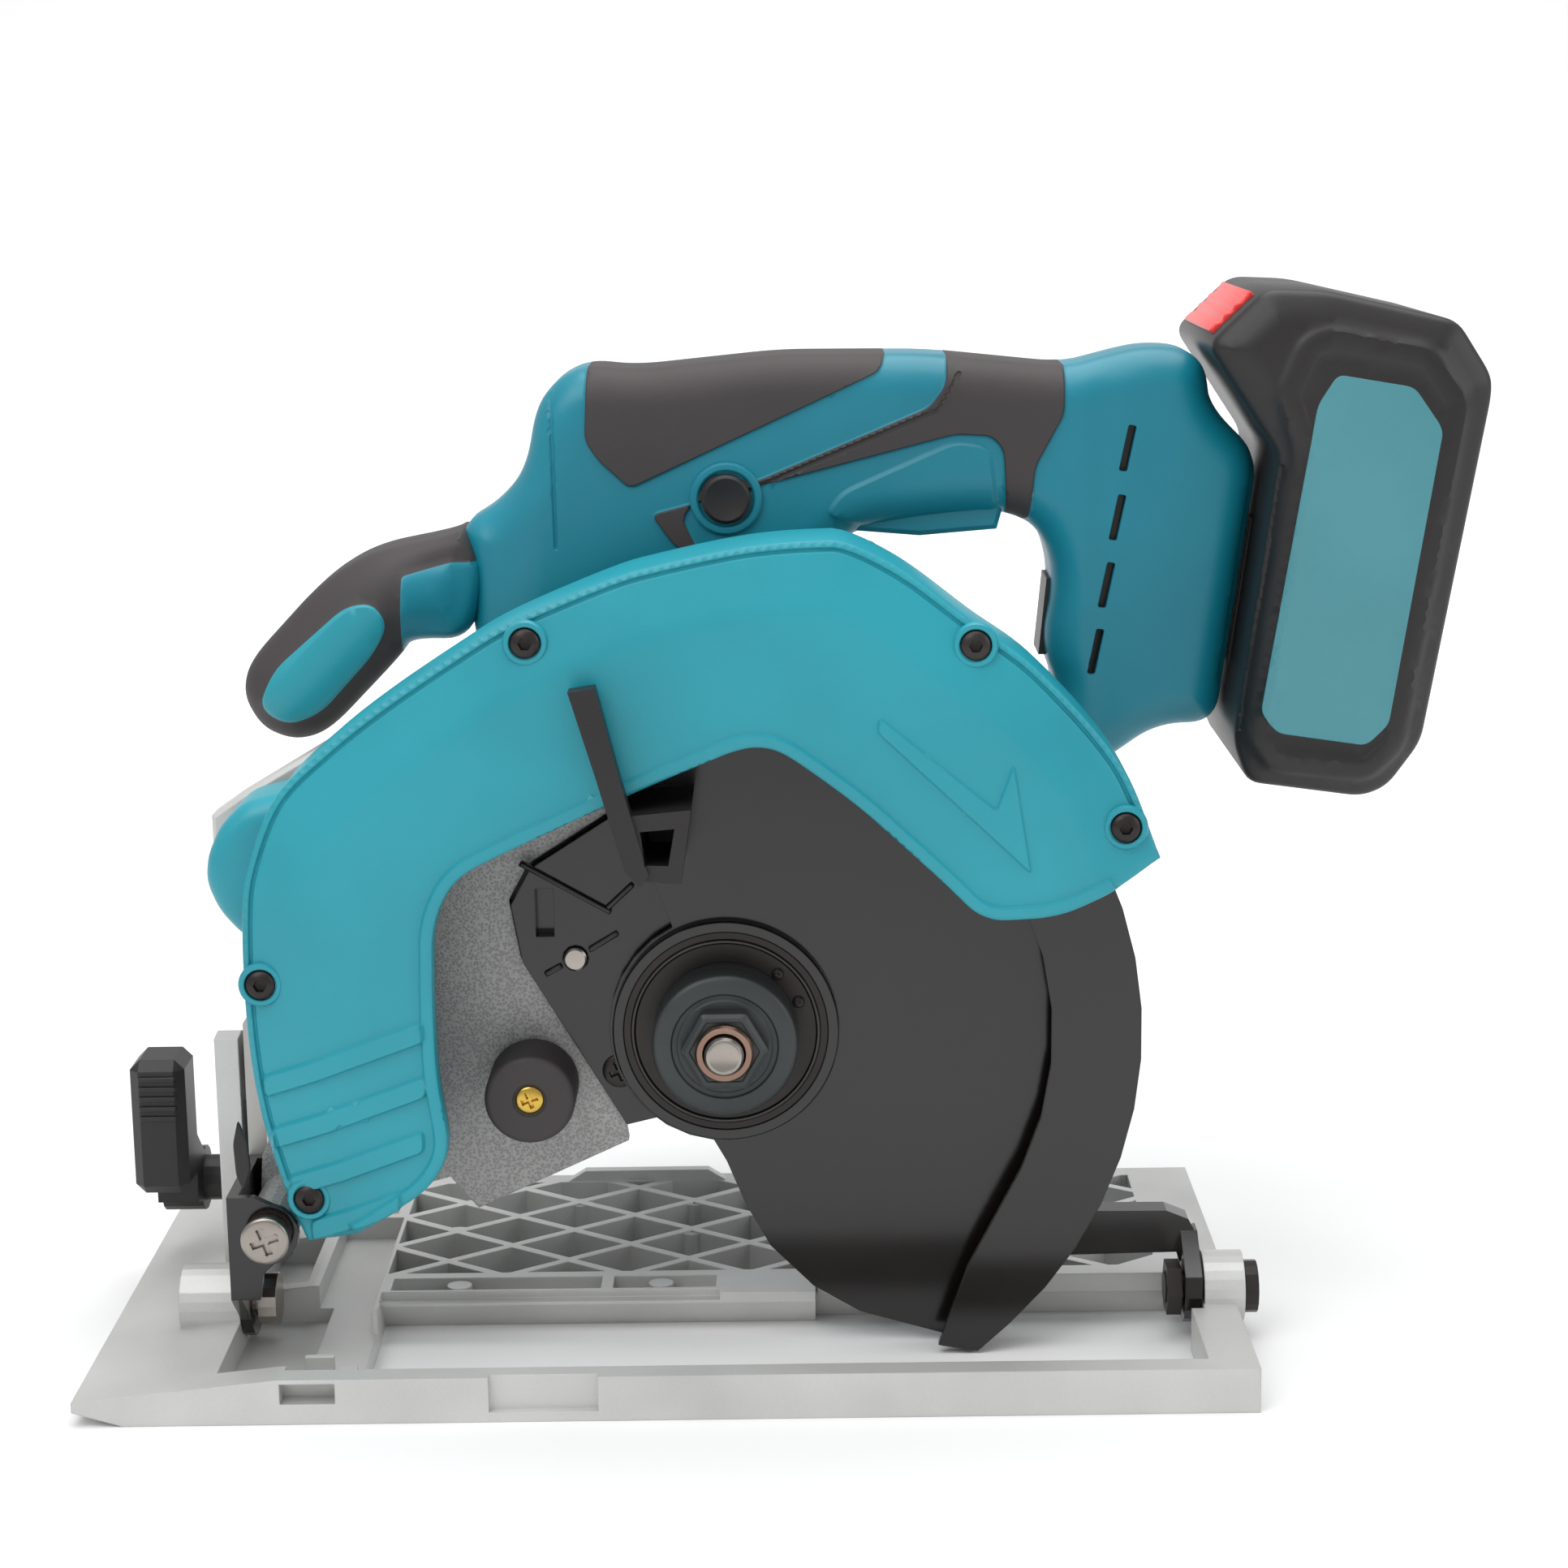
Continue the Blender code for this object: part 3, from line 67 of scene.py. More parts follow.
# Depth in mm of the plane between the housing's halves.
HOUSING_MIDDLE = 90.0


def at(x: float, y: float, z: float) -> np.ndarray:
    """Return the world point of a point in mm from the base's front, blade-side, lowest corner."""
    return ORIGIN + np.array([x, y, z]) * MM


def axis_mm(joint: str) -> np.ndarray:
    """Return a joint's place in mm from the base's corner."""
    found = next(j for j in frame["joints"] if j["name"] == joint)
    return (np.array(found["pos_m"]) - ORIGIN) / MM


SPINDLE = axis_mm("guard_swing")
MOTOR = axis_mm("motor_spin")
PIVOT = axis_mm("depth")
BUTTON = axis_mm("lock_off_press")


# Colours and finishes ---------------------------------------------------------------------------


def linear(code: str) -> tuple[float, float, float, float]:
    """Turn an sRGB hex colour into linear values.

    A part p is p / 12.92 up to 0.04045, and ((p + 0.055) / 1.055)^2.4 above it.

    Args:
        code: the colour as #RRGGBB.

    Returns:
        Red, green, blue and alpha.
    """
    parts = [int(code[i : i + 2], 16) / 255 for i in (1, 3, 5)]
    values = [p / 12.92 if p <= 0.04045 else ((p + 0.055) / 1.055) ** 2.4 for p in parts]
    return (values[0], values[1], values[2], 1.0)


class Pattern(Enum):
    """How a surface was made, which decides its relief."""

    MOULDED = "moulded"
    CAST = "cast"
    SAND = "sand"
    TURNED = "turned"
    RUBBER = "rubber"
    WOUND = "wound"


def add(tree: bpy.types.NodeTree, kind: str, settings: dict, links: dict) -> bpy.types.Node:
    """Add a shader node with its settings and its incoming links.

    Args:
        tree: the node tree.
        kind: the node's type name.
        settings: attribute or socket names and values.
        links: socket names or numbers, each with the output that feeds it.

    Returns:
        The node.
    """
    made = tree.nodes.new(kind)
    for name, value in settings.items():
        if hasattr(made, name) and name not in made.inputs:
            setattr(made, name, value)
        else:
            made.inputs[name].default_value = value
    for name, source in links.items():
        tree.links.new(source, made.inputs[name])
    return made


@dataclass(frozen=True)
class Finish:
    """A material: its colours, gloss and the relief that its making leaves.

    The surface wanders between colour and tone. grain_mm is the size of the relief's grain,
    relief_mm its height, edge_mm the radius of a softened edge and coat the weight of a clear coat.
    """

    name: str
    colour: str
    tone: str
    roughness: float
    metallic: float = 0.0
    pattern: Pattern = Pattern.MOULDED
    grain_mm: float = 0.8
    relief_mm: float = 0.04
    edge_mm: float = 0.0
    coat: float = 0.0

    def material(self) -> bpy.types.Material:
        """Return the Blender material, made once.

        Returns:
            The material.
        """
        found = bpy.data.materials.get(self.name)
        if found:
            return found
        material = bpy.data.materials.new(self.name)
        material.use_nodes = True
        tree = material.node_tree
        shader = tree.nodes["Principled BSDF"]
        shader.inputs["Metallic"].default_value = self.metallic
        shader.inputs["Coat Weight"].default_value = self.coat
        shader.inputs["Coat Roughness"].default_value = 0.12
        place = add(tree, "ShaderNodeTexCoord", {}, {}).outputs["Object"]
        grain = self.grain(tree, place)
        cloud = add(tree, "ShaderNodeTexNoise", {"Scale": 18.0, "Detail": 3.0}, {"Vector": place})
        speck = 0.65 if self.pattern is Pattern.SAND else 0.12
        both = {2: cloud.outputs["Fac"], 3: grain}
        blend = add(tree, "ShaderNodeMix", {"data_type": "FLOAT", "Factor": speck}, both)
        tones = add(tree, "ShaderNodeValToRGB", {}, {"Fac": blend.outputs[0]})
        stops = tones.color_ramp.elements
        for stop, position, code in ((stops[0], 0.32, self.tone), (stops[1], 0.62, self.colour)):
            stop.position = position
            stop.color = linear(code)
        tree.links.new(tones.outputs["Color"], shader.inputs["Base Color"])
        gloss = add(
            tree,
            "ShaderNodeMapRange",
            {"To Min": max(0.04, self.roughness - 0.06), "To Max": min(1.0, self.roughness + 0.08)},
            {"Value": cloud.outputs["Fac"]},
        )
        tree.links.new(gloss.outputs["Result"], shader.inputs["Roughness"])
        lift = {"Distance": self.relief_mm * MM, "Strength": 0.8}
        bump = add(tree, "ShaderNodeBump", lift, {"Height": grain})
        if self.edge_mm:
            soft = add(tree, "ShaderNodeBevel", {"samples": 4, "Radius": self.edge_mm * MM}, {})
            tree.links.new(soft.outputs["Normal"], bump.inputs["Normal"])
        tree.links.new(bump.outputs["Normal"], shader.inputs["Normal"])
        return material

    def grain(self, tree: bpy.types.NodeTree, place: bpy.types.NodeSocket) -> bpy.types.NodeSocket:
        """Add the relief's texture: noise whose cells are the real grain's size.

        Args:
            tree: the material's nodes.
            place: the object coordinates, in metres.

        Returns:
            The height from 0 to 1.
        """
        scale = 1.0 / (self.grain_mm * MM)
        if self.pattern in (Pattern.TURNED, Pattern.WOUND):
            stretch = (1.0, 0.08, 1.0) if self.pattern is Pattern.WOUND else (0.15, 1.0, 0.15)
            map_node = add(tree, "ShaderNodeMapping", {"Scale": stretch}, {"Vector": place})
            place = map_node.outputs["Vector"]
        if self.pattern is Pattern.SAND:
            cells = add(tree, "ShaderNodeTexVoronoi", {"Scale": scale}, {"Vector": place})
            return cells.outputs["Distance"]
        detail = 5.0 if self.pattern in (Pattern.CAST, Pattern.RUBBER) else 2.0
        noise = add(tree, "ShaderNodeTexNoise", {"Scale": scale, "Detail": detail}, {"Vector": place})
        return noise.outputs["Fac"]


# Glass-filled nylon from a spark-eroded mould: satin, with a fine even grain.
TEAL = Finish("teal_nylon", "#229AAA", "#1E8E9E", 0.36, grain_mm=0.5, relief_mm=0.02, edge_mm=0.5)
DEEP_TEAL = Finish("deep_teal_nylon", "#0E8499", "#0B788C", 0.38, grain_mm=0.5, relief_mm=0.02, edge_mm=0.5)
BLACK = Finish("black_nylon", "#211E1F", "#1A1718", 0.42, grain_mm=0.5, relief_mm=0.03, edge_mm=0.4)
# Overmoulded elastomer: dull, with a slightly coarser grain.
RUBBER = Finish(
    "grip_elastomer", "#403B3C", "#383334", 0.62, pattern=Pattern.RUBBER, grain_mm=0.7, relief_mm=0.05,
)
# Gloss-painted pressed steel.
GLOSS = Finish(
    "black_gloss_paint", "#140F0E", "#0E0A0A", 0.16, grain_mm=6.0, relief_mm=0.03, coat=0.3, edge_mm=0.4,
)
# Die-cast aluminium, shot-blasted: pale, slightly rough, with soft edges.
CAST = Finish("cast_aluminium", "#D2D2D0", "#BEBEBC", 0.42, 0.35, Pattern.CAST, 0.7, 0.06, 0.5)
# Silver paint with coarse sparkle over a casting.
SAND = Finish("sparkle_silver_paint", "#AEADAC", "#8E8D8D", 0.5, 0.4, Pattern.SAND, 0.7, 0.08, 0.4)
STEEL = Finish("turned_steel", "#B0A9A2", "#948D87", 0.28, 1.0, Pattern.TURNED, 0.6, 0.02, 0.2)
FLANGE = Finish("blackened_steel", "#474B4B", "#3B3F3F", 0.45, 0.6, Pattern.TURNED, 0.6, 0.03, 0.3)
# Bare rolled steel sheet, and screws with a black oxide.
PLATE = Finish("rolled_steel_sheet", "#B9B7B4", "#A3A19E", 0.38, 0.7, Pattern.CAST, 0.6, 0.02, 0.3)
DARK_STEEL = Finish("black_oxide_steel", "#35302F", "#282423", 0.35, 0.5, Pattern.TURNED, 0.6, 0.03, 0.2)
BRONZE = Finish("bronze_tint_steel", "#9A7F70", "#7E675B", 0.25, 1.0, Pattern.TURNED, 0.6, 0.02, 0.2)
BRASS = Finish("plated_brass", "#E6C56A", "#C9A64B", 0.25, 1.0, Pattern.TURNED, 0.6, 0.02, 0.2)
COPPER = Finish("copper_winding", "#B0633C", "#8E4D2D", 0.4, 0.8, Pattern.WOUND, 0.8, 0.2)
RED = Finish("red_abs", "#F0322F", "#DE2A28", 0.3, grain_mm=0.5, relief_mm=0.02, edge_mm=0.4)
LABEL = Finish("printed_label", "#4D909A", "#478892", 0.3, grain_mm=2.0, relief_mm=0.005)
BOARD = Finish("circuit_board", "#1F5E39", "#184C2D", 0.45, grain_mm=1.5, relief_mm=0.02)


# Surfaces ---------------------------------------------------------------------------------------


def soften(points: list[tuple[float, float]], radius: float, steps: int = 6) -> Outline:
    """Round the corners of a closed outline.

    At each corner a quadratic curve runs between the points a cut back from it along both edges,
    and the corner is its control point: (1-s)^2 a + 2 s (1-s) corner + s^2 b.

    Args:
        points: the corners in mm.
        radius: how far the cut runs back, at most 0.45 of an edge.
        steps: the points along each curve, less one.

    Returns:
        The outline as an array of points.
    """
    here = np.array(points, float)
    before, after = np.roll(here, 1, 0), np.roll(here, -1, 0)
    arms = []
    for other in (before, after):
        reach = np.linalg.norm(other - here, axis=1, keepdims=True)
        arms.append(here + (other - here) / reach * np.minimum(radius, 0.45 * reach))
    s = np.linspace(0, 1, steps + 1)[None, :, None]
    curve = (1 - s) ** 2 * arms[0][:, None] + 2 * s * (1 - s) * here[:, None] + s**2 * arms[1][:, None]
    return curve.reshape(-1, 2)


def inward(points: Outline, distance: float) -> Outline:
    """Move a closed outline inwards: each point goes along the mean of its edges' normals.

    Args:
        points: the outline.
        distance: how far it moves, outwards if negative.

    Returns:
        The moved outline, with as many points.
    """
    x, z = points[:, 0], points[:, 1]
    turn = np.sign(np.sum(x * np.roll(z, -1) - np.roll(x, -1) * z))
    edge = np.roll(points, -1, 0) - points
    edge = edge / np.maximum(np.linalg.norm(edge, axis=1, keepdims=True), 1e-9)
    normal = np.stack([-edge[:, 1], edge[:, 0]], 1) * turn
    mean = normal + np.roll(normal, 1, 0)
    mean = mean / np.maximum(np.linalg.norm(mean, axis=1, keepdims=True), 1e-9)
    spread = np.maximum(0.6, np.sum(mean * normal, 1, keepdims=True))
    return points + mean * distance / spread


def arc(centre: np.ndarray, radius: float, start: float, end: float, count: int = 24) -> Outline:
    """Return points along an arc in XZ, angles in degrees from +X towards +Z."""
    turn = np.radians(np.linspace(start, end, count + 1))
    return np.stack([centre[0] + radius * np.cos(turn), centre[2] + radius * np.sin(turn)], 1)


def finish_mesh(
    name: str, verts: np.ndarray, faces: list, finish: Finish, body: str, angle: float = 35.0
) -> bpy.types.Object:
    """Make a piece from points in mm and faces, put right side out, dressed and riding on a body.

    Args:
        name: the piece's name.
        verts: points in mm from the base's corner.
        faces: lists of point numbers.
        finish: its material.
        body: the body that carries it.
        angle: edges sharper than this stay sharp.

    Returns:
        The object.
    """
    mesh = bpy.data.meshes.new(name)
    mesh.from_pydata((ORIGIN + verts * MM).tolist(), [], faces)
    shape = bmesh.new()
    shape.from_mesh(mesh)
    bmesh.ops.remove_doubles(shape, verts=shape.verts, dist=0.000005)
    bmesh.ops.recalc_face_normals(shape, faces=shape.faces)
    shape.to_mesh(mesh)
    shape.free()
    mesh.shade_smooth()
    mesh.set_sharp_from_angle(angle=math.radians(angle))
    mesh.materials.append(finish.material())
    obj = bpy.data.objects.new(name, mesh)
    bpy.context.scene.collection.objects.link(obj)
    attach(obj, body)
    LOG.info("made %s with %d points", name, len(mesh.vertices))
    return obj


def grid_faces(rows: int, columns: int, closed: bool = True) -> list:
    """Return the quads of a grid of points.

    Args:
        rows: how many rows of points there are.
        columns: how many points a row has.
        closed: joins the last column to the first.

    Returns:
        Lists of four point numbers.
    """
    last = columns if closed else columns - 1
    row, column = np.meshgrid(np.arange(rows - 1), np.arange(last), indexing="ij")
    right = (column + 1) % columns
    quads = np.stack([row * columns + column, row * columns + right], -1)
    lower = np.stack([(row + 1) * columns + right, (row + 1) * columns + column], -1)
    return np.concatenate([quads, lower], -1).reshape(-1, 4).tolist()


def cap_faces(loops: list[Outline], starts: list[int]) -> list:
    """Fill a flat outline with its holes; starts are the loops' first point numbers."""
    flat = [[Vector((x, z, 0.0)) for x, z in loop] for loop in loops]
    index = np.concatenate([np.arange(len(loop)) + start for loop, start in zip(loops, starts)])
    return [[int(index[i]) for i in face] for face in tessellate_polygon(flat)]


def quarter_round(radius: float, steps: int) -> np.ndarray:
    """Return (inset, depth) pairs of a quarter round, from the face to the wall."""
    t = np.linspace(0, math.pi / 2, steps + 1)
    return np.stack([radius * (1 - np.sin(t)), radius * (1 - np.cos(t))], 1)


def edge_profile(near: float, far: float, radius: float, steps: int, seam: float = 0.3) -> np.ndarray:
    """Return (inset, depth) pairs of a wall: a quarter round at the near end, a chamfer at the far one.

    Args:
        near: depth of the near face.
        far: depth of the far face.
        radius: radius at the near end.
        steps: the points of the quarter round, less one.
        seam: the small chamfer of the far end.

    Returns:
        The pairs from near to far.
    """
    return np.concatenate([quarter_round(radius, steps) + [0, near], [[0, far - seam], [seam, far]]])


def both_round(near: float, far: float, radius: float, steps: int = 5) -> np.ndarray:
    """Return the (inset, depth) pairs of a wall with a quarter round at each end."""
    quarter = quarter_round(radius, steps)
    return np.concatenate([quarter + [0, near], quarter[::-1] * [1, -1] + [0, far]])


def slab(
    name: str,
    outline: Outline,
    profile: np.ndarray,
    finish: Finish,
    body: str,
    holes: tuple = (),
) -> bpy.types.Object:
    """Make a thick plate whose wall follows an inset profile, from an outline and its holes.

    Point (i, j) of a wall is outline point j moved inwards by profile i's inset, at its depth. A
    hole's points move outwards instead.

    Args:
        name: the piece's name.
        outline: the outer outline in XZ.
        profile: (inset, depth) pairs from near to far.
        finish: its material.
        body: the body that carries it.
        holes: outlines of holes.

    Returns:
        The object.
    """
    verts, faces, first, last = [], [], [], []
    count = 0
    for number, loop in enumerate([outline, *holes]):
        sign = 1 if number == 0 else -1
        rings = [inward(loop, sign * inset) for inset, _ in profile]
        points = np.concatenate(
            [np.stack([r[:, 0], np.full(len(r), y), r[:, 1]], 1) for r, (_, y) in zip(rings, profile)]
        )
        faces += (np.array(grid_faces(len(profile), len(loop))) + count).tolist()
        first.append((rings[0], count))
        last.append((rings[-1], count + len(loop) * (len(profile) - 1)))
        verts.append(points)
        count += len(points)
    for ends in (first, last):
        faces += cap_faces([e[0] for e in ends], [e[1] for e in ends])
    return finish_mesh(name, np.concatenate(verts), faces, finish, body)


def turned(
    name: str,
    centre: np.ndarray,
    profile: list[tuple[float, float]],
    finish: Finish,
    body: str,
    sides: int = 72,
    wave: Move | None = None,
) -> bpy.types.Object:
    """Turn a closed (radius, depth) profile round an axis along Y through a centre.

    Point (i, j) lies at profile i's radius and depth and at j turns over the sides. A wave changes
    the radius by a factor of the angle, which makes hexagons and lobes.

    Args:
        name: the piece's name.
        centre: a point of the axis in mm; depth counts from 0 on the drawing.
        profile: pairs from one end to the other.
        finish: its material.
        body: the body that carries it.
        sides: how many points go round.
        wave: a function of the angles that gives factors on the radius.

    Returns:
        The object.
    """
    pairs = np.array(profile)
    closed = pairs[0, 0] > 0
    if closed:
        pairs = np.concatenate([pairs, pairs[:1]])
    turn = np.arange(sides) / sides * 2 * math.pi
    factor = wave(turn) if wave else np.ones(sides)
    radius = pairs[:, :1] * factor[None]
    depth = np.repeat(pairs[:, 1:], sides, 1)
    points = np.stack([radius * np.cos(turn), depth, radius * np.sin(turn)], -1).reshape(-1, 3)
    points = points + np.array([centre[0], 0.0, centre[2]])
    return finish_mesh(name, points, grid_faces(len(pairs), sides), finish, body)


def block(name: str, low: tuple, high: tuple, radius: float, finish: Finish, body: str) -> bpy.types.Object:
    """Make a box with rounded edges from two corners in mm.

    Args:
        name: the piece's name.
        low: its lowest corner.
        high: its highest corner.
        radius: how far its upright edges are cut; its other edges have 0.6 of that.
        finish: its material.
        body: the body that carries it.

    Returns:
        The object.
    """
    outline = soften([(low[0], low[2]), (high[0], low[2]), (high[0], high[2]), (low[0], high[2])], radius)
    return slab(name, outline, both_round(low[1], high[1], radius * 0.6, 4), finish, body)


def clearance(points: np.ndarray, loops: list[Outline]) -> np.ndarray:
    """Return each point's distance to the nearest edge: the point's foot on a segment is clamped.

    Args:
        points: the points.
        loops: closed outlines.

    Returns:
        The distances, worked out for a few thousand points at a time.
    """
    start = np.concatenate(loops)
    end = np.concatenate([np.roll(loop, -1, 0) for loop in loops])
    best = np.full(len(points), np.inf)
    batch = 4000
    for first in range(0, len(points), batch):
        part = points[first : first + batch, None]
        run = (end - start)[None]
        share = np.sum((part - start[None]) * run, 2) / np.maximum(np.sum(run**2, 2), 1e-12)
        foot = start[None] + run * np.clip(share, 0, 1)[..., None]
        best[first : first + batch] = np.linalg.norm(part - foot, axis=2).min(1)
    return best


def inside(points: np.ndarray, loop: Outline) -> np.ndarray:
    """Return which points an outline holds, by counting the edges a ray along +X crosses.

    Args:
        points: the points.
        loop: the closed outline.

    Returns:
        True for each point inside.
    """
    x, z = points[:, :1], points[:, 1:]
    ax, az = loop[None, :, 0], loop[None, :, 1]
    bx, bz = np.roll(ax, -1, 1), np.roll(az, -1, 1)
    rise = np.where(bz == az, 1e-12, bz - az)
    crossed = ((az > z) != (bz > z)) & (x < ax + (z - az) / rise * (bx - ax))
    return crossed.sum(1) % 2 == 1


@dataclass(frozen=True)
class Mark:
    """A raised or sunk patch of a face: its outline, its rise in mm and the softness of its edge."""

    loop: Outline
    rise: float
    soft: float = 0.3
    finish: Finish | None = None

    def signed(self, points: np.ndarray) -> np.ndarray:
        """Return the distance from the patch's edge, positive inside it."""
        d = clearance(points, [self.loop])
        return np.where(inside(points, self.loop), d, -d)


def divided(loop: Outline, step: float) -> Outline:
    """Add points along a closed outline's edges, so that no edge is longer than a step.

    Args:
        loop: the outline.
        step: the longest edge in mm.

    Returns:
        The outline with its new points.
    """
    after = np.roll(loop, -1, 0)
    counts = np.maximum(1, np.ceil(np.linalg.norm(after - loop, axis=1) / step)).astype(int)
    owner = np.repeat(np.arange(len(loop)), counts)
    share = (np.arange(counts.sum()) - np.repeat(np.cumsum(counts) - counts, counts)) / counts[owner]
    return loop[owner] + (after - loop)[owner] * share[:, None]


def net_points(outline: Outline, holes: tuple, rings: tuple, pitch: float, marks: tuple) -> np.ndarray:
    """Return the free points of a face: rings along every outline and patch, and a grid between them.

    Args:
        outline: the face's outline.
        holes: outlines of its holes.
        rings: the rings' distances from the outlines.
        pitch: the grid's pitch; every other row is shifted by half of it.
        marks: the patches.

    Returns:
        The points that lie on the face, clear of the fixed ones.
    """
    loops = [outline, *holes]
    free = []
    for distance in rings:
        for number, loop in enumerate(loops):
            ring = inward(loop, distance if number == 0 else -distance)
            free.append(ring[clearance(ring, loops) > distance * 0.93])
    low, high = outline.min(0), outline.max(0)
    x, z = np.meshgrid(np.arange(low[0], high[0], pitch), np.arange(low[1], high[1], pitch))
    x[1::2] += pitch / 2
    net = np.stack([x.ravel(), z.ravel()], 1)
    net = net[inside(net, outline)]
    net = net[clearance(net, loops) > rings[-1] + pitch * 0.5]
    for mark in marks:
        net = net[clearance(net, [mark.loop]) > mark.soft + pitch * 0.35]
    free = np.concatenate([*free, net])
    for mark in marks:
        free = free[clearance(free, [mark.loop]) > mark.soft * 1.2]
    edges = [inward(mark.loop, share * mark.soft) for mark in marks for share in (-1.0, 1.0)]
    edges = [e[clearance(e, loops) > 0.15] for e in edges]
    free = np.concatenate([free, *edges])
    keep = inside(free, outline)
    for hole in holes:
        keep &= ~inside(free, hole)
    return free[keep]


def relief(
    name: str,
    outline: Outline,
    height: Height,
    back: float,
    finish: Finish,
    body: str,
    holes: tuple = (),
    pitch: float = 1.6,
    rings: tuple = (0.25, 0.8, 1.8, 3.2, 5.0, 7.5),
    place: Move | None = None,
    angle: float = 32.0,
    marks: tuple = (),
) -> bpy.types.Object:
    """Make a solid whose face is a height over an outline in XZ, with walls to a flat back.

    The face's points are the outlines, rings beside them and a staggered grid, joined by a Delaunay
    net. Each has the depth height(x, z, d), where d is its distance from the outline, less the rise
    of each mark times a smooth step over its edge. The back repeats the net on a plane.

    Args:
        name: the piece's name.
        outline: the outer outline in mm.
        height: a function of arrays x, z and d that gives depths in mm.
        back: depth of the flat back.
        finish: its material.
        body: the body that carries it.
        holes: outlines of holes.
        pitch: the grid's pitch in mm.
        rings: the rings' distances from the outline.
        place: a function that moves the finished points.
        angle: edges sharper than this stay sharp.
        marks: raised or sunk patches, with finishes of their own if they have one.

    Returns:
        The object.
    """
    outline = divided(outline, pitch * 1.2)
    holes = tuple(divided(hole, pitch * 1.2) for hole in holes)
    marks = tuple(replace(mark, loop=divided(mark.loop, pitch)) for mark in marks)
    loops = [outline, *holes]
    free = net_points(outline, holes, rings, pitch, marks)
    fixed = [*loops, *(mark.loop for mark in marks)]
    edges, start = [], 0
    for loop in fixed:
        ids = np.arange(len(loop)) + start
        edges += np.stack([ids, np.roll(ids, -1)], 1).tolist()
        start += len(loop)
    every = [Vector(p) for p in np.concatenate([*fixed, free]).tolist()]
    flat, _, faces, _, _, _ = delaunay_2d_cdt(every, edges, [], 0, 1e-4)
    flat = np.array([tuple(p) for p in flat])
    faces = np.array(faces)
    centres = flat[faces].mean(1)
    good = inside(centres, outline)
    for hole in holes:
        good &= ~inside(centres, hole)
    faces, centres = faces[good], centres[good]
    used, faces = np.unique(faces, return_inverse=True)
    faces = faces.reshape(-1, 3)
    flat = flat[used]
    depth = height(flat[:, 0], flat[:, 1], clearance(flat, loops))
    for mark in marks:
        depth = depth - mark.rise * ramp(mark.signed(flat), -mark.soft, mark.soft)
    count = len(flat)
    front = np.stack([flat[:, 0], depth, flat[:, 1]], 1)
    rear = np.stack([flat[:, 0], np.full(count, back), flat[:, 1]], 1)
    sides = np.concatenate([faces[:, [0, 1]], faces[:, [1, 2]], faces[:, [2, 0]]])
    keys = np.sort(sides, 1)
    _, first, times = np.unique(keys, axis=0, return_index=True, return_counts=True)
    rim = sides[first[times == 1]]
    walls = np.stack([rim[:, 1], rim[:, 0], rim[:, 0] + count, rim[:, 1] + count], 1)
    rear_faces = faces[:, ::-1] + count
    points = np.concatenate([front, rear])
    if place:
        points = place(points)
    every_face = [*faces.tolist(), *rear_faces.tolist(), *walls.tolist()]
    shape = finish_mesh(name, points, every_face, finish, body, angle)
    paint(shape, marks)
    return shape


def paint(shape: bpy.types.Object, marks: tuple) -> None:
    """Give the faces inside a mark the mark's finish, if it has one, by where their middles lie.

    Args:
        shape: the piece.
        marks: its patches.
    """
    mesh = shape.data
    centres = np.empty(len(mesh.polygons) * 3)
    mesh.polygons.foreach_get("center", centres)
    centres = (centres.reshape(-1, 3) - ORIGIN) / MM
    slots = np.zeros(len(mesh.polygons), dtype=np.int32)
    for mark in marks:
        if mark.finish:
            mesh.materials.append(mark.finish.material())
            slots[inside(centres[:, [0, 2]], mark.loop)] = len(mesh.materials) - 1
    mesh.polygons.foreach_set("material_index", slots)
    mesh.update()


def crown(distance: np.ndarray, radius: float) -> np.ndarray:
    """Return how far a quarter-round edge lies below the face: r - sqrt(r^2 - (r - d)^2)."""
    lack = np.clip(radius - distance, 0, radius)
    return radius - np.sqrt(np.maximum(radius**2 - lack**2, 0))


def ramp(value: np.ndarray, start: float, end: float) -> np.ndarray:
    """Return a smooth step from 0 at start to 1 at end: 3t^2 - 2t^3."""
    t = np.clip((value - start) / (end - start), 0, 1)
    return 3 * t**2 - 2 * t**3


def line_distance(x: np.ndarray, z: np.ndarray, line: list[tuple[float, float]]) -> np.ndarray:
    """Return the distance of points from an open line.

    Args:
        x: the points' X.
        z: the points' Z.
        line: the line's points.

    Returns:
        The distances.
    """
    points = np.stack([x, z], 1)
    best = np.full(len(points), np.inf)
    for a, b in zip(np.array(line[:-1]), np.array(line[1:])):
        share = np.clip(((points - a) @ (b - a)) / ((b - a) @ (b - a)), 0, 1)
        best = np.minimum(best, np.linalg.norm(points - a - share[:, None] * (b - a), axis=1))
    return best


def mirror_y(points: np.ndarray) -> np.ndarray:
    """Reflect points to the other side of the handle's seam."""
    return points * [1, -1, 1] + [0, 2 * HOUSING_MIDDLE, 0]


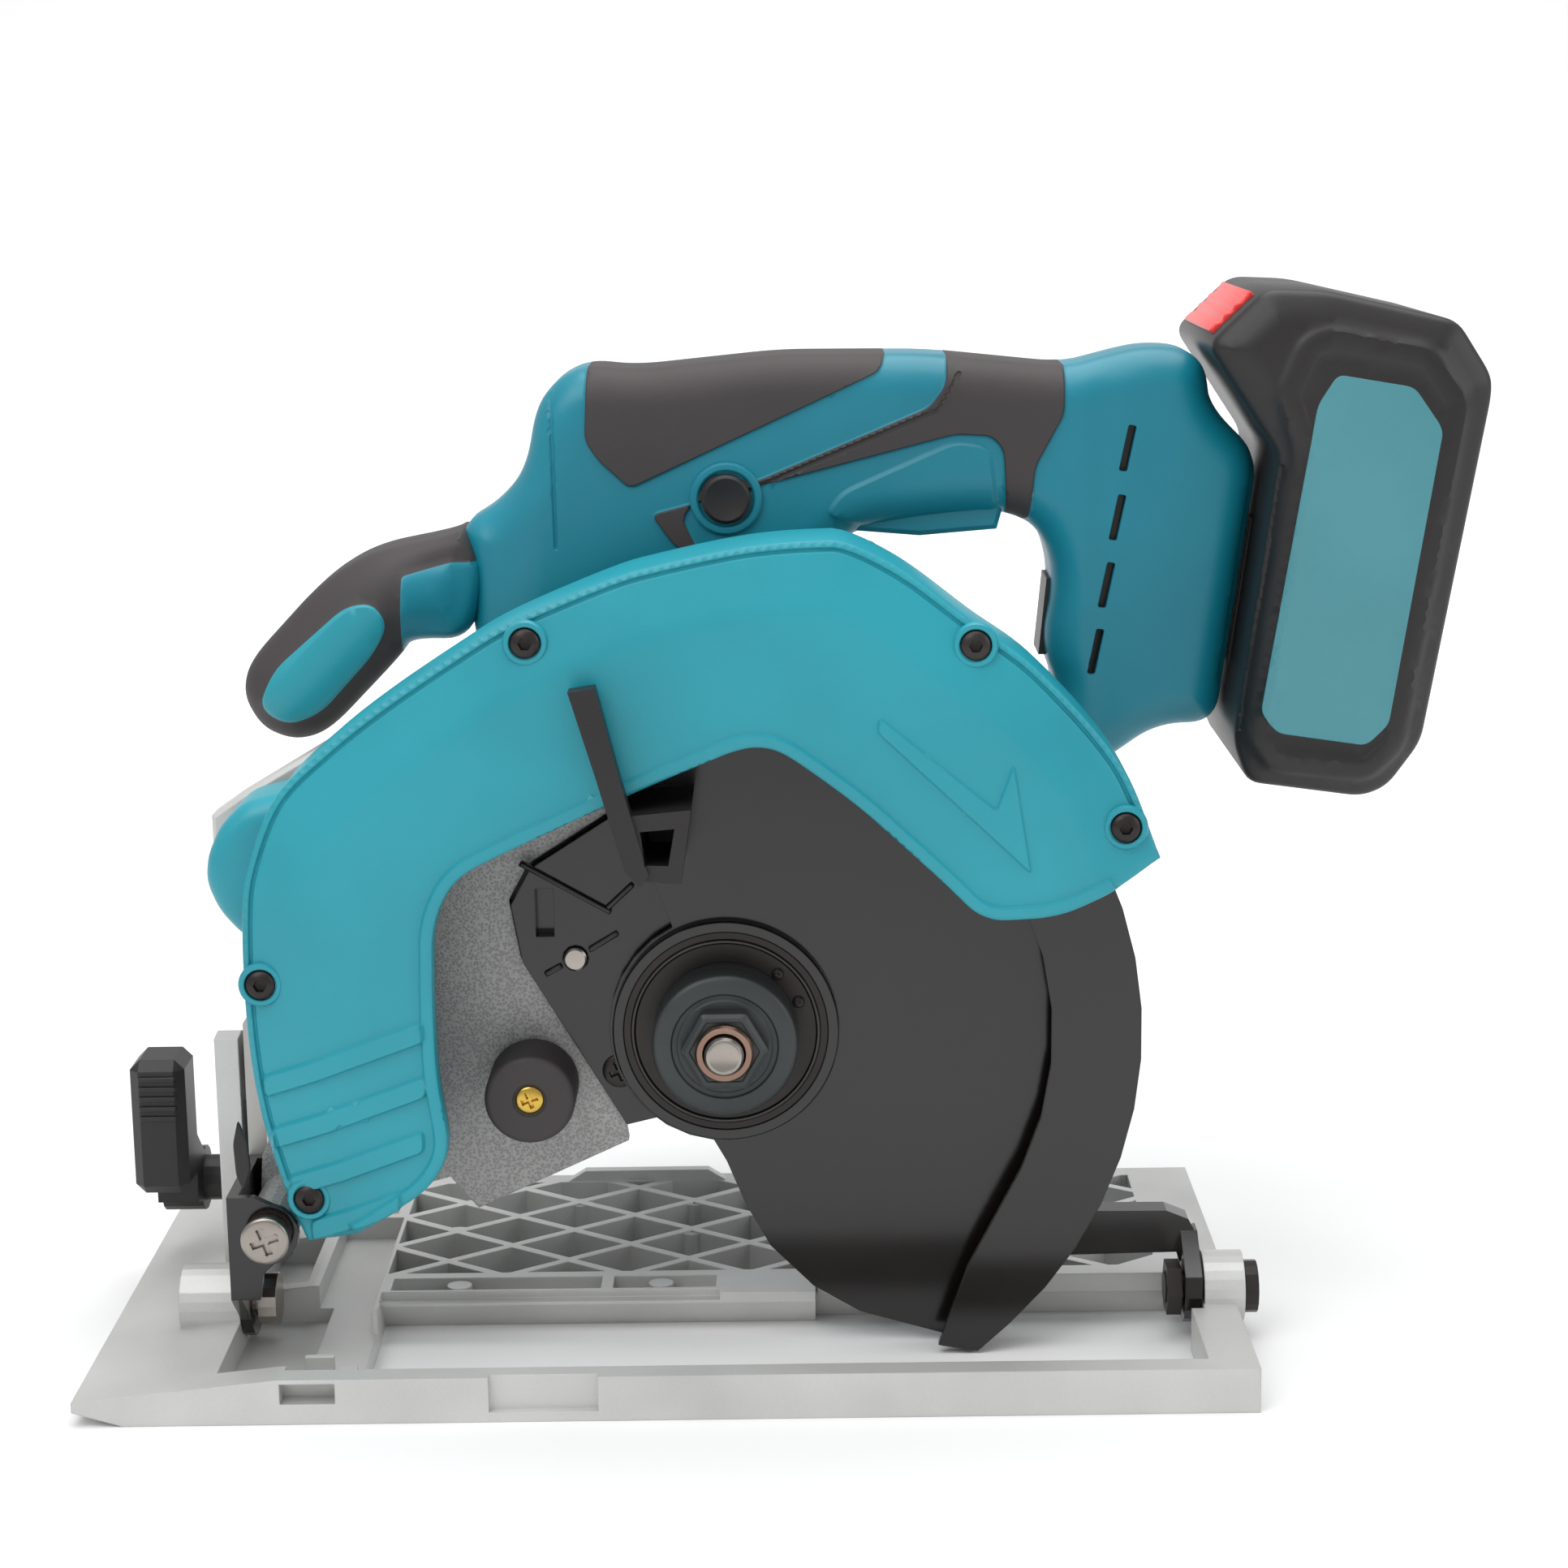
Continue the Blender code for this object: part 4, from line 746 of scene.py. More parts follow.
def smooth_line(points: list[tuple[float, float]], step: float = 2.0) -> Outline:
    """Return an open line through points as Catmull-Rom curves, cut into equal steps.

    Each piece is 0.5 (2b + (c-a)t + (2a-5b+4c-d)t^2 + (3b-a-3c+d)t^3).

    Args:
        points: the points that the line goes through.
        step: about how long its straight pieces are, in mm.

    Returns:
        The line's points.
    """
    p = np.array(points, float)
    p = np.concatenate([2 * p[:1] - p[1:2], p, 2 * p[-1:] - p[-2:-1]])
    t = np.linspace(0, 1, 12, endpoint=False)[None, :, None]
    a, b, c, d = (p[i : len(p) - 3 + i, None] for i in range(4))
    curve = 0.5 * (2 * b + (c - a) * t + (2 * a - 5 * b + 4 * c - d) * t**2 + (3 * b - a - 3 * c + d) * t**3)
    curve = np.concatenate([curve.reshape(-1, 2), p[-2:-1]])
    far = np.concatenate([[0], np.cumsum(np.linalg.norm(np.diff(curve, axis=0), axis=1))])
    stops = np.linspace(0, far[-1], max(3, int(far[-1] / step)))
    return np.stack([np.interp(stops, far, curve[:, 0]), np.interp(stops, far, curve[:, 1])], 1)


def socket_screw(
    name: str, place: tuple[float, float, float], radius: float, finish: Finish, body: str
) -> bpy.types.Object:
    """Make a button-head screw with a hexagon socket, seen along +Y.

    The head's edge is round; the socket's radius is a hexagon's, cos(30) / cos(angle in a side).

    Args:
        name: the screw's name.
        place: the middle of its front face, in mm.
        radius: the head's radius.
        finish: its material.
        body: the body that carries it.

    Returns:
        The object.
    """
    y = place[1]
    rim = [(radius * math.cos(a), y + 1.6 - 1.6 * math.sin(a)) for a in np.linspace(0, 1.1, 6)]
    socket = [(radius * 0.44, y + 0.1), (radius * 0.42, y + 1.9), (0.0, y + 2.1)]
    head = [(0.0, y + 3.4), (radius, y + 3.4), *rim, *socket]

    def hexagon(turn: np.ndarray) -> np.ndarray:
        """Return the factor that makes a circle a hexagon."""
        return math.cos(math.pi / 6) / np.cos((turn % (math.pi / 3)) - math.pi / 6)

    obj = turned(name, np.array([place[0], 0, place[2]]), head, finish, body, 36)
    mesh = obj.data
    spots = np.empty(len(mesh.vertices) * 3)
    mesh.vertices.foreach_get("co", spots)
    spots = spots.reshape(-1, 3)
    centre = at(place[0], 0, place[2])
    arm = spots[:, [0, 2]] - centre[[0, 2]]
    size = np.linalg.norm(arm, axis=1)
    inner = (size < radius * 0.46 * MM) & (size > 1e-6)
    turn = np.arctan2(arm[:, 1], arm[:, 0])
    arm[inner] = arm[inner] * hexagon(turn[inner])[:, None]
    spots[:, [0, 2]] = centre[[0, 2]] + arm
    mesh.vertices.foreach_set("co", spots.ravel())
    mesh.update()
    return obj


# Guard cover ------------------------------------------------------------------------------------


@dataclass
class GuardCover:
    """The teal cover: a moulded shell with a raised lip, a facet, four ribs, an arrow and screws."""

    face: float = 25.0
    back: float = 51.5
    wall: float = 2.4
    band: float = 15.0
    outer: tuple = (
        (52.6, 34.9), (47.7, 48.3), (42.7, 68.2), (40.5, 90.0), (40.6, 114.4), (42.6, 127.6),
        (49.7, 144.1), (62.1, 156.0), (75.3, 166.1), (92.5, 177.4), (105.4, 184.9), (128.1, 194.3),
        (140.3, 197.8), (160.7, 201.8), (176.9, 203.0), (185.0, 202.2), (198.0, 195.4),
        (213.4, 183.6), (228.8, 171.9), (247.7, 149.9), (257.4, 126.9),
    )
    inner: tuple = (
        (246.9, 120.0), (233.3, 113.8), (215.5, 112.9), (206.4, 122.3), (186.8, 140.7),
        (176.3, 148.8), (167.5, 155.0), (159.9, 155.5), (137.3, 146.3), (103.8, 131.1),
        (91.5, 125.0), (86.2, 114.3), (85.6, 94.3), (85.8, 77.0), (88.5, 58.5), (83.1, 48.9), (64.9, 37.2),
    )
    screws: tuple = ((109.7, 180.4), (213.9, 178.4), (248.9, 134.8), (44.6, 99.5), (53.9, 46.4))

    def edges(self) -> tuple[Outline, Outline]:
        """Return the cover's smooth outer line and its softened inner one."""
        outer = smooth_line(list(self.outer), 2.5)
        inner = soften([self.outer[-1], *self.inner, self.outer[0]], 6.0, CORNER_STEPS)
        return outer, inner[CORNER_STEPS + 1 : -CORNER_STEPS - 1]

    def outline(self) -> Outline:
        """Return the cover's outline: the outer line closed by the inner one."""
        return np.concatenate(self.edges())

    def depth(self, x: np.ndarray, z: np.ndarray, d: np.ndarray) -> np.ndarray:
        """Return the face's depth: a facet falls 3.2 mm from the band to the outer edge."""
        edge = line_distance(x, z, list(self.outer))
        fall = 3.2 * (1 - np.clip((edge - 1.5) / (self.band - 1.5), 0, 1))
        return self.face + fall + crown(d, 1.2)

    def marks(self) -> tuple:
        """Return the raised parts: the lip along the inner edge, the ribs and the arrow.

        Returns:
            The marks: the lip, the ledge along the outer edge, four ribs and the arrow.
        """
        outer, line = self.edges()
        whole = np.concatenate([outer, line])
        off = inward(whole, 3.2)
        strip = np.concatenate([line[3:-3], off[-len(line) :][3:-3][::-1]])
        rim = inward(whole, 1.7)[4 : len(outer) - 4]
        under = inward(whole, 2.5)[4 : len(outer) - 4]
        ledge = Mark(np.concatenate([rim, under[::-1]]), -0.7, 0.2)
        ribs = []
        slope, width = 0.36, 5.2
        places = ((71.5, 44.0, 83.0), (58.5, 45.5, 83.0), (46.5, 49.0, 82.0), (35.5, 54.0, 76.0))
        for low, left, right in places:
            high = low + slope * (right - left)
            rib = [(left, low), (right, high), (right, high + width), (left, low + width)]
            ribs.append(Mark(soften(rib, 1.6, 4), 1.1, 0.3))
        arrow = [(191.5, 162.0), (218.6, 139.6), (222.6, 150.5), (226.6, 124.6), (191.0, 158.6)]
        shape = soften(arrow, 1.0, 3)
        return (Mark(strip, 1.0, 0.25), ledge, *ribs, Mark(shape, 0.7, 0.2))

    def build(self) -> None:
        """Make the shell with its marks, the screws and their bosses."""
        outline = self.outline()
        shell = relief(
            "cover_shell", outline, self.depth, self.back, TEAL, "saw_body",
            pitch=2.2, rings=(0.2, 0.6, 1.2), marks=self.marks(),
        )
        self.hollow(shell)
        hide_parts("guard_cover")
        for number, (x, z) in enumerate(self.screws, 1):
            fall = self.depth(np.array([x]), np.array([z]), np.array([9.0]))[0] - 2.3
            screw = socket_screw(f"cover_bolt_{number}", (x, fall, z), 3.6, DARK_STEEL, "saw_body")
            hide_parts(f"cover_screw_{number}")
            collar = turned(
                f"cover_boss_{number}", np.array([x, 0, z]),
                [
                    (3.8, fall + 4.0), (3.8, fall + 1.2), (4.0, fall + 1.0),
                    (4.9, fall + 1.0), (5.3, fall + 1.6), (5.3, fall + 4.0),
                ],
                TEAL, "saw_body", 40,
            )

    def hollow(self, shell: bpy.types.Object) -> None:
        """Open the shell from behind and below with a Boolean, then apply it.

        Args:
            shell: the cover's solid.
        """
        outline = self.outline()
        inset = inward(outline, self.wall)
        count = len(self.edges()[0])
        far_side = inward(outline, -4.0)[count + 2 : -2]
        room = np.concatenate([inset[2 : count - 2], far_side])
        depths = np.array([[0, self.face + 4.6], [0, self.back + 5]])
        cutter = slab("cover_room", room, depths, TEAL, "saw_body")
        piece = shell.modifiers.new("room", "BOOLEAN")
        piece.operation = "DIFFERENCE"
        piece.solver = "EXACT"
        piece.object = cutter
        settled = bpy.data.meshes.new_from_object(shell.evaluated_get(bpy.context.evaluated_depsgraph_get()))
        shell.modifiers.clear()
        shell.data = settled
        bpy.data.objects.remove(cutter)


# Rear handle ------------------------------------------------------------------------------------


@dataclass
class Handle:
    """The two housing halves with their rubber panels, grooves, vents, button ring and seams."""

    near: float = 73.0
    seam: float = 89.85
    edge: float = 9.0
    line: tuple = (
        (93.0, 171.0), (89.3, 200.8), (99.4, 206.7), (106.6, 215.5), (109.4, 230.2), (114.8, 237.0),
        (122.1, 240.4), (133.6, 239.0), (169.2, 242.3), (205.0, 242.0), (239.2, 238.2),
        (249.7, 241.1), (258.4, 242.9), (268.1, 242.3), (273.4, 237.6), (274.6, 228.0),
        (286.6, 216.0), (276.8, 149.3), (262.0, 149.0), (250.0, 140.6), (222.0, 123.0), (196.0, 110.0),
        (150.0, 152.0), (120.0, 150.0), (98.0, 150.0),
    )
    gap: tuple = (
        (186.0, 199.0), (204.0, 202.0), (224.0, 203.5), (233.0, 198.5), (236.2, 186.0), (233.0, 170.0),
        (238.0, 157.0), (226.0, 147.0), (203.0, 139.0), (190.0, 146.0), (180.0, 164.0), (176.0, 188.0),
    )
    pad: tuple = (
        (122.6, 243.0), (136.0, 243.5), (157.5, 245.0), (177.0, 246.0), (196.1, 245.5), (193.5, 238.2),
        (163.0, 224.5), (132.4, 210.7), (124.8, 217.7), (121.6, 222.6),
    )
    side: tuple = (
        (209.9, 246.0), (238.5, 242.5), (238.1, 227.3), (231.2, 214.8), (229.6, 201.0), (224.2, 201.0),
        (223.4, 218.8), (220.5, 222.3), (211.7, 222.8), (137.4, 204.3), (143.1, 196.4), (150.0, 193.0),
        (145.0, 203.0), (152.0, 214.0), (163.0, 212.0), (205.5, 229.5), (209.5, 235.0),
    )

    def loops(self) -> list[Outline]:
        """Return the housing's outline and its finger gap, softened."""
        return [soften(list(self.line), 7.0, 7), soften(list(self.gap), 8.0, 7)]

    def depth(self, x: np.ndarray, z: np.ndarray, d: np.ndarray) -> np.ndarray:
        """Return the housing's depth: its face, a quarter-round edge and the front block's chamfer."""
        chamfer = 4.0 * (1 - ramp(x, 96.0, 111.0)) * ramp(z, 150, 200)
        foot = 1.2 * ramp(x, 241.0, 249.0)
        return self.near + crown(d, self.edge) + chamfer + foot

    def marks(self) -> tuple:
        """Return the housing's patches: rubber panels, their grooves, the trigger's cheek and vents.

        Returns:
            The marks, later ones painted over earlier ones.
        """
        pad = Mark(soften(list(self.pad), 2.2, 5), 0.9, 0.35, RUBBER)
        grip = Mark(soften(list(self.side), 2.2, 5), 0.9, 0.35, RUBBER)
        cheek = [
            (180.0, 203.5), (184.0, 209.0), (211.5, 221.0), (220.0, 219.6), (222.4, 200.0), (204.0, 196.0),
        ]
        vents = []
        for x, z in ((253.7, 218.7), (251.3, 201.8), (248.7, 185.2), (246.1, 168.8)):
            slot = np.array([(-0.9, -5.6), (0.9, -5.6), (0.9, 5.6), (-0.9, 5.6)])
            lean = math.radians(-12)
            turn = np.array([[math.cos(lean), math.sin(lean)], [-math.sin(lean), math.cos(lean)]])
            vents.append(Mark(soften(list(map(tuple, slot @ turn + [x, z])), 0.5, 3), -2.4, 0.12, BLACK))
        lines = (
            ((150.5, 206.0), (207.0, 229.0), (212.5, 238.0), (213.3, 237.6), (207.6, 228.2), (150.9, 205.2)),
            ((113.0, 238.0), (113.6, 196.0), (114.4, 196.0), (113.9, 238.0)),
            ((274.0, 232.0), (286.0, 218.0), (277.6, 160.0), (276.6, 160.0), (284.8, 217.6), (272.8, 231.4)),
        )
        grooves = [Mark(soften(list(line), 0.4, 2), -0.5, 0.2) for line in lines]
        return (pad, grip, Mark(soften(cheek, 3.0, 5), 0.8, 0.5), *vents, *grooves)

    def build(self) -> None:
        """Make both halves with their panels."""
        outline, gap = self.loops()
        for side, place in (("near", None), ("far", mirror_y)):
            half = relief(
                f"handle_half_{side}", outline, self.depth, self.seam, DEEP_TEAL, "saw_body", (gap,),
                pitch=2.0, rings=(0.25, 0.7, 1.4, 2.4, 3.8, 5.4, 7.2, 9.0), place=place,
                marks=self.marks(),
            )
            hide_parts(f"housing_{side}", f"top_grip_{side}", f"side_grip_{side}")
        self.button()

    def button(self) -> None:
        """Make the lock-off button with its dished ends, and a teal ring round it on each side."""
        x, z = BUTTON[0], BUTTON[2]
        near = 70.0
        profile = [
            (0.0, near + 0.9), (3.0, near + 0.6), (5.2, near), (6.0, near + 0.8),
            (6.0, 109.2), (5.2, 110.0), (3.0, 109.4), (0.0, 109.1),
        ]
        cap = turned("lock_off_cap", np.array([x, 0, z]), profile, BLACK, "lock_off", 48)
        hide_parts("lock_off_button")
        for side, sign, face in (("near", 1, self.near), ("far", -1, 107.0)):
            steps = ((6.7, 2), (6.7, -0.9), (7.2, -1.4), (8.4, -1.4), (8.9, -0.8), (8.9, 2))
            ring = [(radius, face + depth * sign) for radius, depth in steps]
            piece = turned(f"lock_off_ring_{side}", np.array([x, 0, z]), ring, DEEP_TEAL, "saw_body", 48)


# Battery ----------------------------------------------------------------------------------------


@dataclass
class Battery:
    """The battery pack: a faceted black shell with raised cheeks, a label and a red latch."""

    near: float = 52.0
    far: float = 129.0
    edge: float = 5.0
    line: tuple = (
        (309.5, 134.8), (315.7, 137.3), (323.6, 148.2), (338.2, 231.6), (338.0, 236.4), (329.7, 249.4),
        (298.5, 256.8), (284.3, 257.5), (270.5, 244.5), (287.8, 218.0), (277.9, 149.0), (281.4, 138.8),
    )
    label: tuple = (
        (300.7, 237.5), (318.8, 234.3), (325.8, 224.3), (314.5, 153.4), (309.4, 148.5), (287.9, 151.8),
        (283.9, 156.8), (296.1, 230.4),
    )
    cheek: tuple = (
        (299.0, 249.0), (323.5, 244.0), (332.5, 231.0), (318.8, 146.8), (310.5, 139.5), (287.0, 142.0),
        (279.8, 150.0), (290.8, 219.0), (286.0, 233.0), (292.0, 246.5),
    )

    def depth(self, x: np.ndarray, z: np.ndarray, d: np.ndarray) -> np.ndarray:
        """Return the side's depth: flat, falling away near the outline on a soft facet."""
        return self.near + 1.4 + 4.4 * (1 - ramp(d, -3.0, 8.5)) + crown(d, 1.5)

    def marks(self) -> tuple:
        """Return the side's raised cheek, the seam near the handle and the label.

        Returns:
            The marks.
        """
        cheek = soften(list(self.cheek), 3.5, 5)
        label = soften(list(self.label), 2.0, 5)
        seam = soften([(289.0, 216.0), (280.0, 152.0), (279.2, 152.0), (288.2, 216.0)], 0.3, 2)
        return (
            Mark(cheek, 1.2, 1.0),
            Mark(inward(cheek, 5.5), -0.5, 0.6),
            Mark(seam, -0.6, 0.2),
            Mark(label, 0.3, 0.15, LABEL),
        )

    def build(self) -> None:
        """Make both shells, the row of ribs down the back and the latch."""
        outline = soften(list(self.line), 3.5, 5)
        middle = (self.near + self.far) / 2
        for side, place in (("near", None), ("far", self.other_side)):
            shell = relief(
                f"battery_shell_{side}", outline, self.depth, middle, BLACK, "battery", pitch=3.0,
                rings=(0.3, 0.8, 1.5, 3.0, 4.5, 6.5, 8.5), place=place, marks=self.marks(),
            )
            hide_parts("battery_pack")
        for number, share in enumerate(np.linspace(0.12, 0.82, 8)):
            foot = np.array([323.6, 148.2]) * (1 - share) + np.array([338.2, 231.6]) * share
            low = foot + [-2.2, 0.0]
            corners = ((0.0, 0.0), (2.1, 0.4), (2.5, 3.0), (0.4, 3.4))
            rib = soften([(low[0] + x, low[1] + z) for x, z in corners], 0.5, 3)
            wall = both_round(self.near + 9, self.far - 9, 0.6, 3)
            piece = slab(f"battery_rib_{number}", rib, wall, BLACK, "battery")
        low, high = np.array([271.9, 247.4]), np.array([281.6, 256.7])
        teeth = [low + (high - low) * share for share in np.linspace(0.12, 0.8, 12)]
        away = np.array([0.69, -0.72]) * 0.5
        top = [tuple(p + away * (number % 4 > 1)) for number, p in enumerate(teeth)]
        latch = [tuple(low), *top, tuple(high), (289.2, 249.8), (279.6, 240.6)]
        wall = both_round(66.0, 115.0, 0.5)
        red = slab("battery_release_latch", soften(latch, 0.5, 4), wall, RED, "battery_release")
        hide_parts("battery_latch")

    def other_side(self, points: np.ndarray) -> np.ndarray:
        """Reflect points across the battery's middle."""
        return points * [1, -1, 1] + [0, self.near + self.far, 0]


# Front handle -----------------------------------------------------------------------------------


@dataclass
class FrontHandle:
    """The front knob: a rubber jacket round a teal core, with a teal inlay on each side."""

    near: float = 70.0
    seam: float = 89.85
    edge: float = 12.0
    line: tuple = (
        (87.7, 199.0), (67.3, 195.2), (54.9, 187.8), (36.0, 168.0), (34.4, 159.7), (38.9, 151.4),
        (47.0, 148.1), (55.3, 150.1), (74.4, 169.5), (77.0, 173.5), (92.0, 173.0), (96.0, 190.0),
        (91.0, 201.0),
    )
    inlay: tuple = (
        (39.5, 158.0), (46.5, 153.5), (55.0, 156.5), (68.5, 171.0), (72.5, 178.5), (69.0, 184.0),
        (62.0, 183.0), (44.0, 167.5),
    )

    def depth(self, x: np.ndarray, z: np.ndarray, d: np.ndarray) -> np.ndarray:
        """Return the knob's depth: a wide quarter-round edge, and 3.5 mm deeper at the neck."""
        neck = 3.5 * ramp(x, 70.0, 86.0)
        return self.near + crown(d, self.edge) + neck * ramp(d, 0.0, 6.0)

    def build(self) -> None:
        """Make both halves with their inlays and the teal neck."""
        outline = soften(list(self.line), 8.0, 7)
        inlay = Mark(soften(list(self.inlay), 4.0, 5), 0.9, 0.6, TEAL)
        collar = [(74.5, 163.0), (100.0, 160.0), (104.0, 192.5), (88.0, 193.0), (76.0, 190.0)]
        neck = Mark(soften(collar, 1.0, 4), 0.4, 0.4, DEEP_TEAL)
        for side, place in (("near", None), ("far", mirror_y)):
            half = relief(
                f"front_knob_{side}", outline, self.depth, self.seam, RUBBER, "saw_body", pitch=1.8,
                rings=(0.3, 0.8, 1.6, 2.8, 4.4, 6.4, 9.0, 12.0), place=place, marks=(inlay, neck),
            )
            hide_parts(f"front_handle_{side}", "front_handle_core")


# Blade drive ------------------------------------------------------------------------------------


@dataclass
class Hub:
    """The parts round the spindle: flange, hex bolt, guard rings, recess ribs, stopper and lug screw."""

    flange_radius: float = 17.5
    hex_flat: float = 18.4

    def build(self) -> None:
        """Make the turned parts, the stopper and the small screws."""
        flange = turned(
            "clamp_flange", SPINDLE,
            [
                (4.4, 41.0), (self.flange_radius, 41.0), (self.flange_radius, 33.4), (17.1, 32.7),
                (16.2, 32.2), (13.0, 32.0), (12.6, 32.4), (11.6, 32.5), (11.2, 32.1), (4.4, 32.1),
            ],
            FLANGE, "blade_drive", 96,
        )
        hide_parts("outer_flange")
        across = self.hex_flat / 2

        def six(turn: np.ndarray) -> np.ndarray:
            """Return the factor that makes a circle a hexagon with small rounds at its corners."""
            side = 1 / np.cos((turn % (math.pi / 3)) - math.pi / 6)
            return np.minimum(side, 1.14)

        head = turned(
            "hex_bolt_head", SPINDLE,
            [
                (0.0, 31.9), (across, 31.9), (across, 28.1), (across - 0.9, 27.3),
                (7.4, 27.3), (7.2, 27.6), (0.0, 27.6),
            ],
            FLANGE, "blade_drive", 120, wave=six,
        )
        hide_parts("blade_bolt")
        ring = turned(
            "bolt_washer_ring", SPINDLE,
            [(4.8, 28.0), (7.0, 28.0), (7.0, 25.9), (6.5, 25.2), (5.2, 25.2), (4.8, 25.8)],
            BRONZE, "blade_drive", 64,
        )
        stub = turned(
            "spindle_stub", SPINDLE,
            [(0.0, 31.0), (4.7, 31.0), (4.7, 23.6), (4.2, 22.9), (3.6, 22.7), (3.2, 22.9), (0.0, 23.2)],
            STEEL, "blade_drive", 64,
        )
        self.guard_ring()
        self.recess()
        self.stopper()

    def guard_ring(self) -> None:
        """Make the guard hub's turned rings and two small rivets."""
        sizes = (("guard_hub_ring", 24.6, 27.6, 45.0), ("guard_hub_lip", 21.9, 23.2, 44.8))
        for name, inner, outer, near in sizes:
            profile = [
                (inner, near + 2.4), (inner, near + 0.4), (inner + 0.4, near),
                (outer - 0.4, near), (outer, near + 0.5), (outer, near + 2.4),
            ]
            piece = turned(name, SPINDLE, profile, GLOSS, "lower_guard_body", 120)
        for number, turn in enumerate((22.0, 48.0)):
            spot = arc(SPINDLE, 19.2, turn, turn, 1)[0]
            profile = [(0.0, 46.4), (1.5, 46.4), (1.5, 44.9), (1.1, 44.4), (0.5, 44.3), (0.0, 44.6)]
            middle = np.array([spot[0], 0, spot[1]])
            piece = turned(f"retainer_rivet_{number}", middle, profile, DARK_STEEL, "saw_body", 24)

    def recess(self) -> None:
        """Make the ribs of the gear housing's face, the lock pin's end, a black plate of painted shade
        behind the blade case and the lug's screw.
        """
        ribs = (
            ((104.6, 122.6), (126.5, 110.0)),
            ((110.0, 94.6), (114.2, 96.8)),
            ((120.9, 100.6), (128.0, 104.8)),
            ((125.5, 111.0), (132.0, 117.0)),
        )
        for number, (a, b) in enumerate(ribs):
            a, b = np.array(a), np.array(b)
            side = np.array([-(b - a)[1], (b - a)[0]]) / np.linalg.norm(b - a) * 0.7
            loop = soften(list(map(tuple, (a - side, b - side, b + side, a + side))), 0.4, 3)
            wall = edge_profile(50.5, 52.6, 0.5, 3)
            piece = slab(f"gear_case_rib_{number}", loop, wall, GLOSS, "saw_body")
        pin = turned(
            "lock_pin_end", np.array([117.5, 0, 98.5]),
            [(0.0, 51.0), (2.9, 51.0), (2.9, 50.3), (2.4, 49.9), (0.0, 49.8)], STEEL, "shaft_lock", 40,
        )
        edge = [
            # A thin black plate behind the blade case's edge: painted shade that makes the gap seen there
            # dark.
            (128.0, 136.0), (104.0, 124.0), (98.0, 113.0), (100.5, 97.0), (108.0, 84.0),
            (114.0, 84.0), (108.0, 98.0), (106.0, 112.0), (110.0, 119.0), (130.0, 130.0),
        ]
        wall = both_round(59.1, 59.9, 0.1, 2)
        shade_plate = slab("gear_case_shade_plate", soften(edge, 1.5, 4), wall, BLACK, "saw_body")
        self.cross_screw("lug_screw", np.array([127.6, 52.4, 69.8]), 4.3, DARK_STEEL, "saw_body")

    def cross_screw(
        self, name: str, place: np.ndarray, radius: float, finish: Finish, body: str
    ) -> bpy.types.Object:
        """Make a pan-head screw with a cross recess.

        The head is a height over a disc: a dome, sunk by 1.1 mm inside the cross's outline.

        Args:
            name: the screw's name.
            place: the middle of the head's back, in mm.
            radius: the head's radius.
            finish: its material.
            body: the body that carries it.

        Returns:
            The object.
        """
        disc = arc(place, radius, 0, 360, 48)[:-1]
        reach, half = radius * 0.56, radius * 0.13
        arms = [(-half, -reach), (half, -reach), (half, -half), (reach, -half), (reach, half), (half, half)]
        arms += [(-a, -b) for a, b in arms]
        lean = math.radians(20)
        turn = np.array([[math.cos(lean), math.sin(lean)], [-math.sin(lean), math.cos(lean)]])
        cross = np.array(arms) @ turn + place[[0, 2]]

        def dome(x: np.ndarray, z: np.ndarray, d: np.ndarray) -> np.ndarray:
            """Return the head's depth: a shallow dome with a round edge."""
            far = np.hypot(x - place[0], z - place[2]) / radius
            return place[1] - 1.9 + 0.5 * far**2 + crown(d, 0.7)

        piece = relief(
            name, disc, dome, place[1], finish, body, pitch=0.45, rings=(0.1, 0.3, 0.6),
            marks=(Mark(cross, -1.1, 0.08),), angle=40.0,
        )
        return piece

    def stopper(self) -> None:
        """Make the rubber stopper with its rolled edge, and its brass screw."""
        place = np.array([106.4, 0, 66.8])
        t = np.linspace(0, math.pi / 2, 6)
        roll = [(11.0 - 1.6 * (1 - math.cos(a)), 39.0 - 1.6 * math.sin(a)) for a in t]
        profile = [(3.0, 53.6), (10.4, 53.6), (11.0, 53.0), *roll, (4.2, 37.4), (3.9, 38.0), (3.0, 38.4)]
        disc = turned("rubber_buffer", place, profile, RUBBER, "saw_body", 72)
        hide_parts("rubber_stopper")
        screw = self.cross_screw("buffer_screw", np.array([106.4, 39.2, 66.8]), 3.6, BRASS, "saw_body")
        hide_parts("stopper_screw")


# Base and tilting frame ---------------------------------------------------------------------------


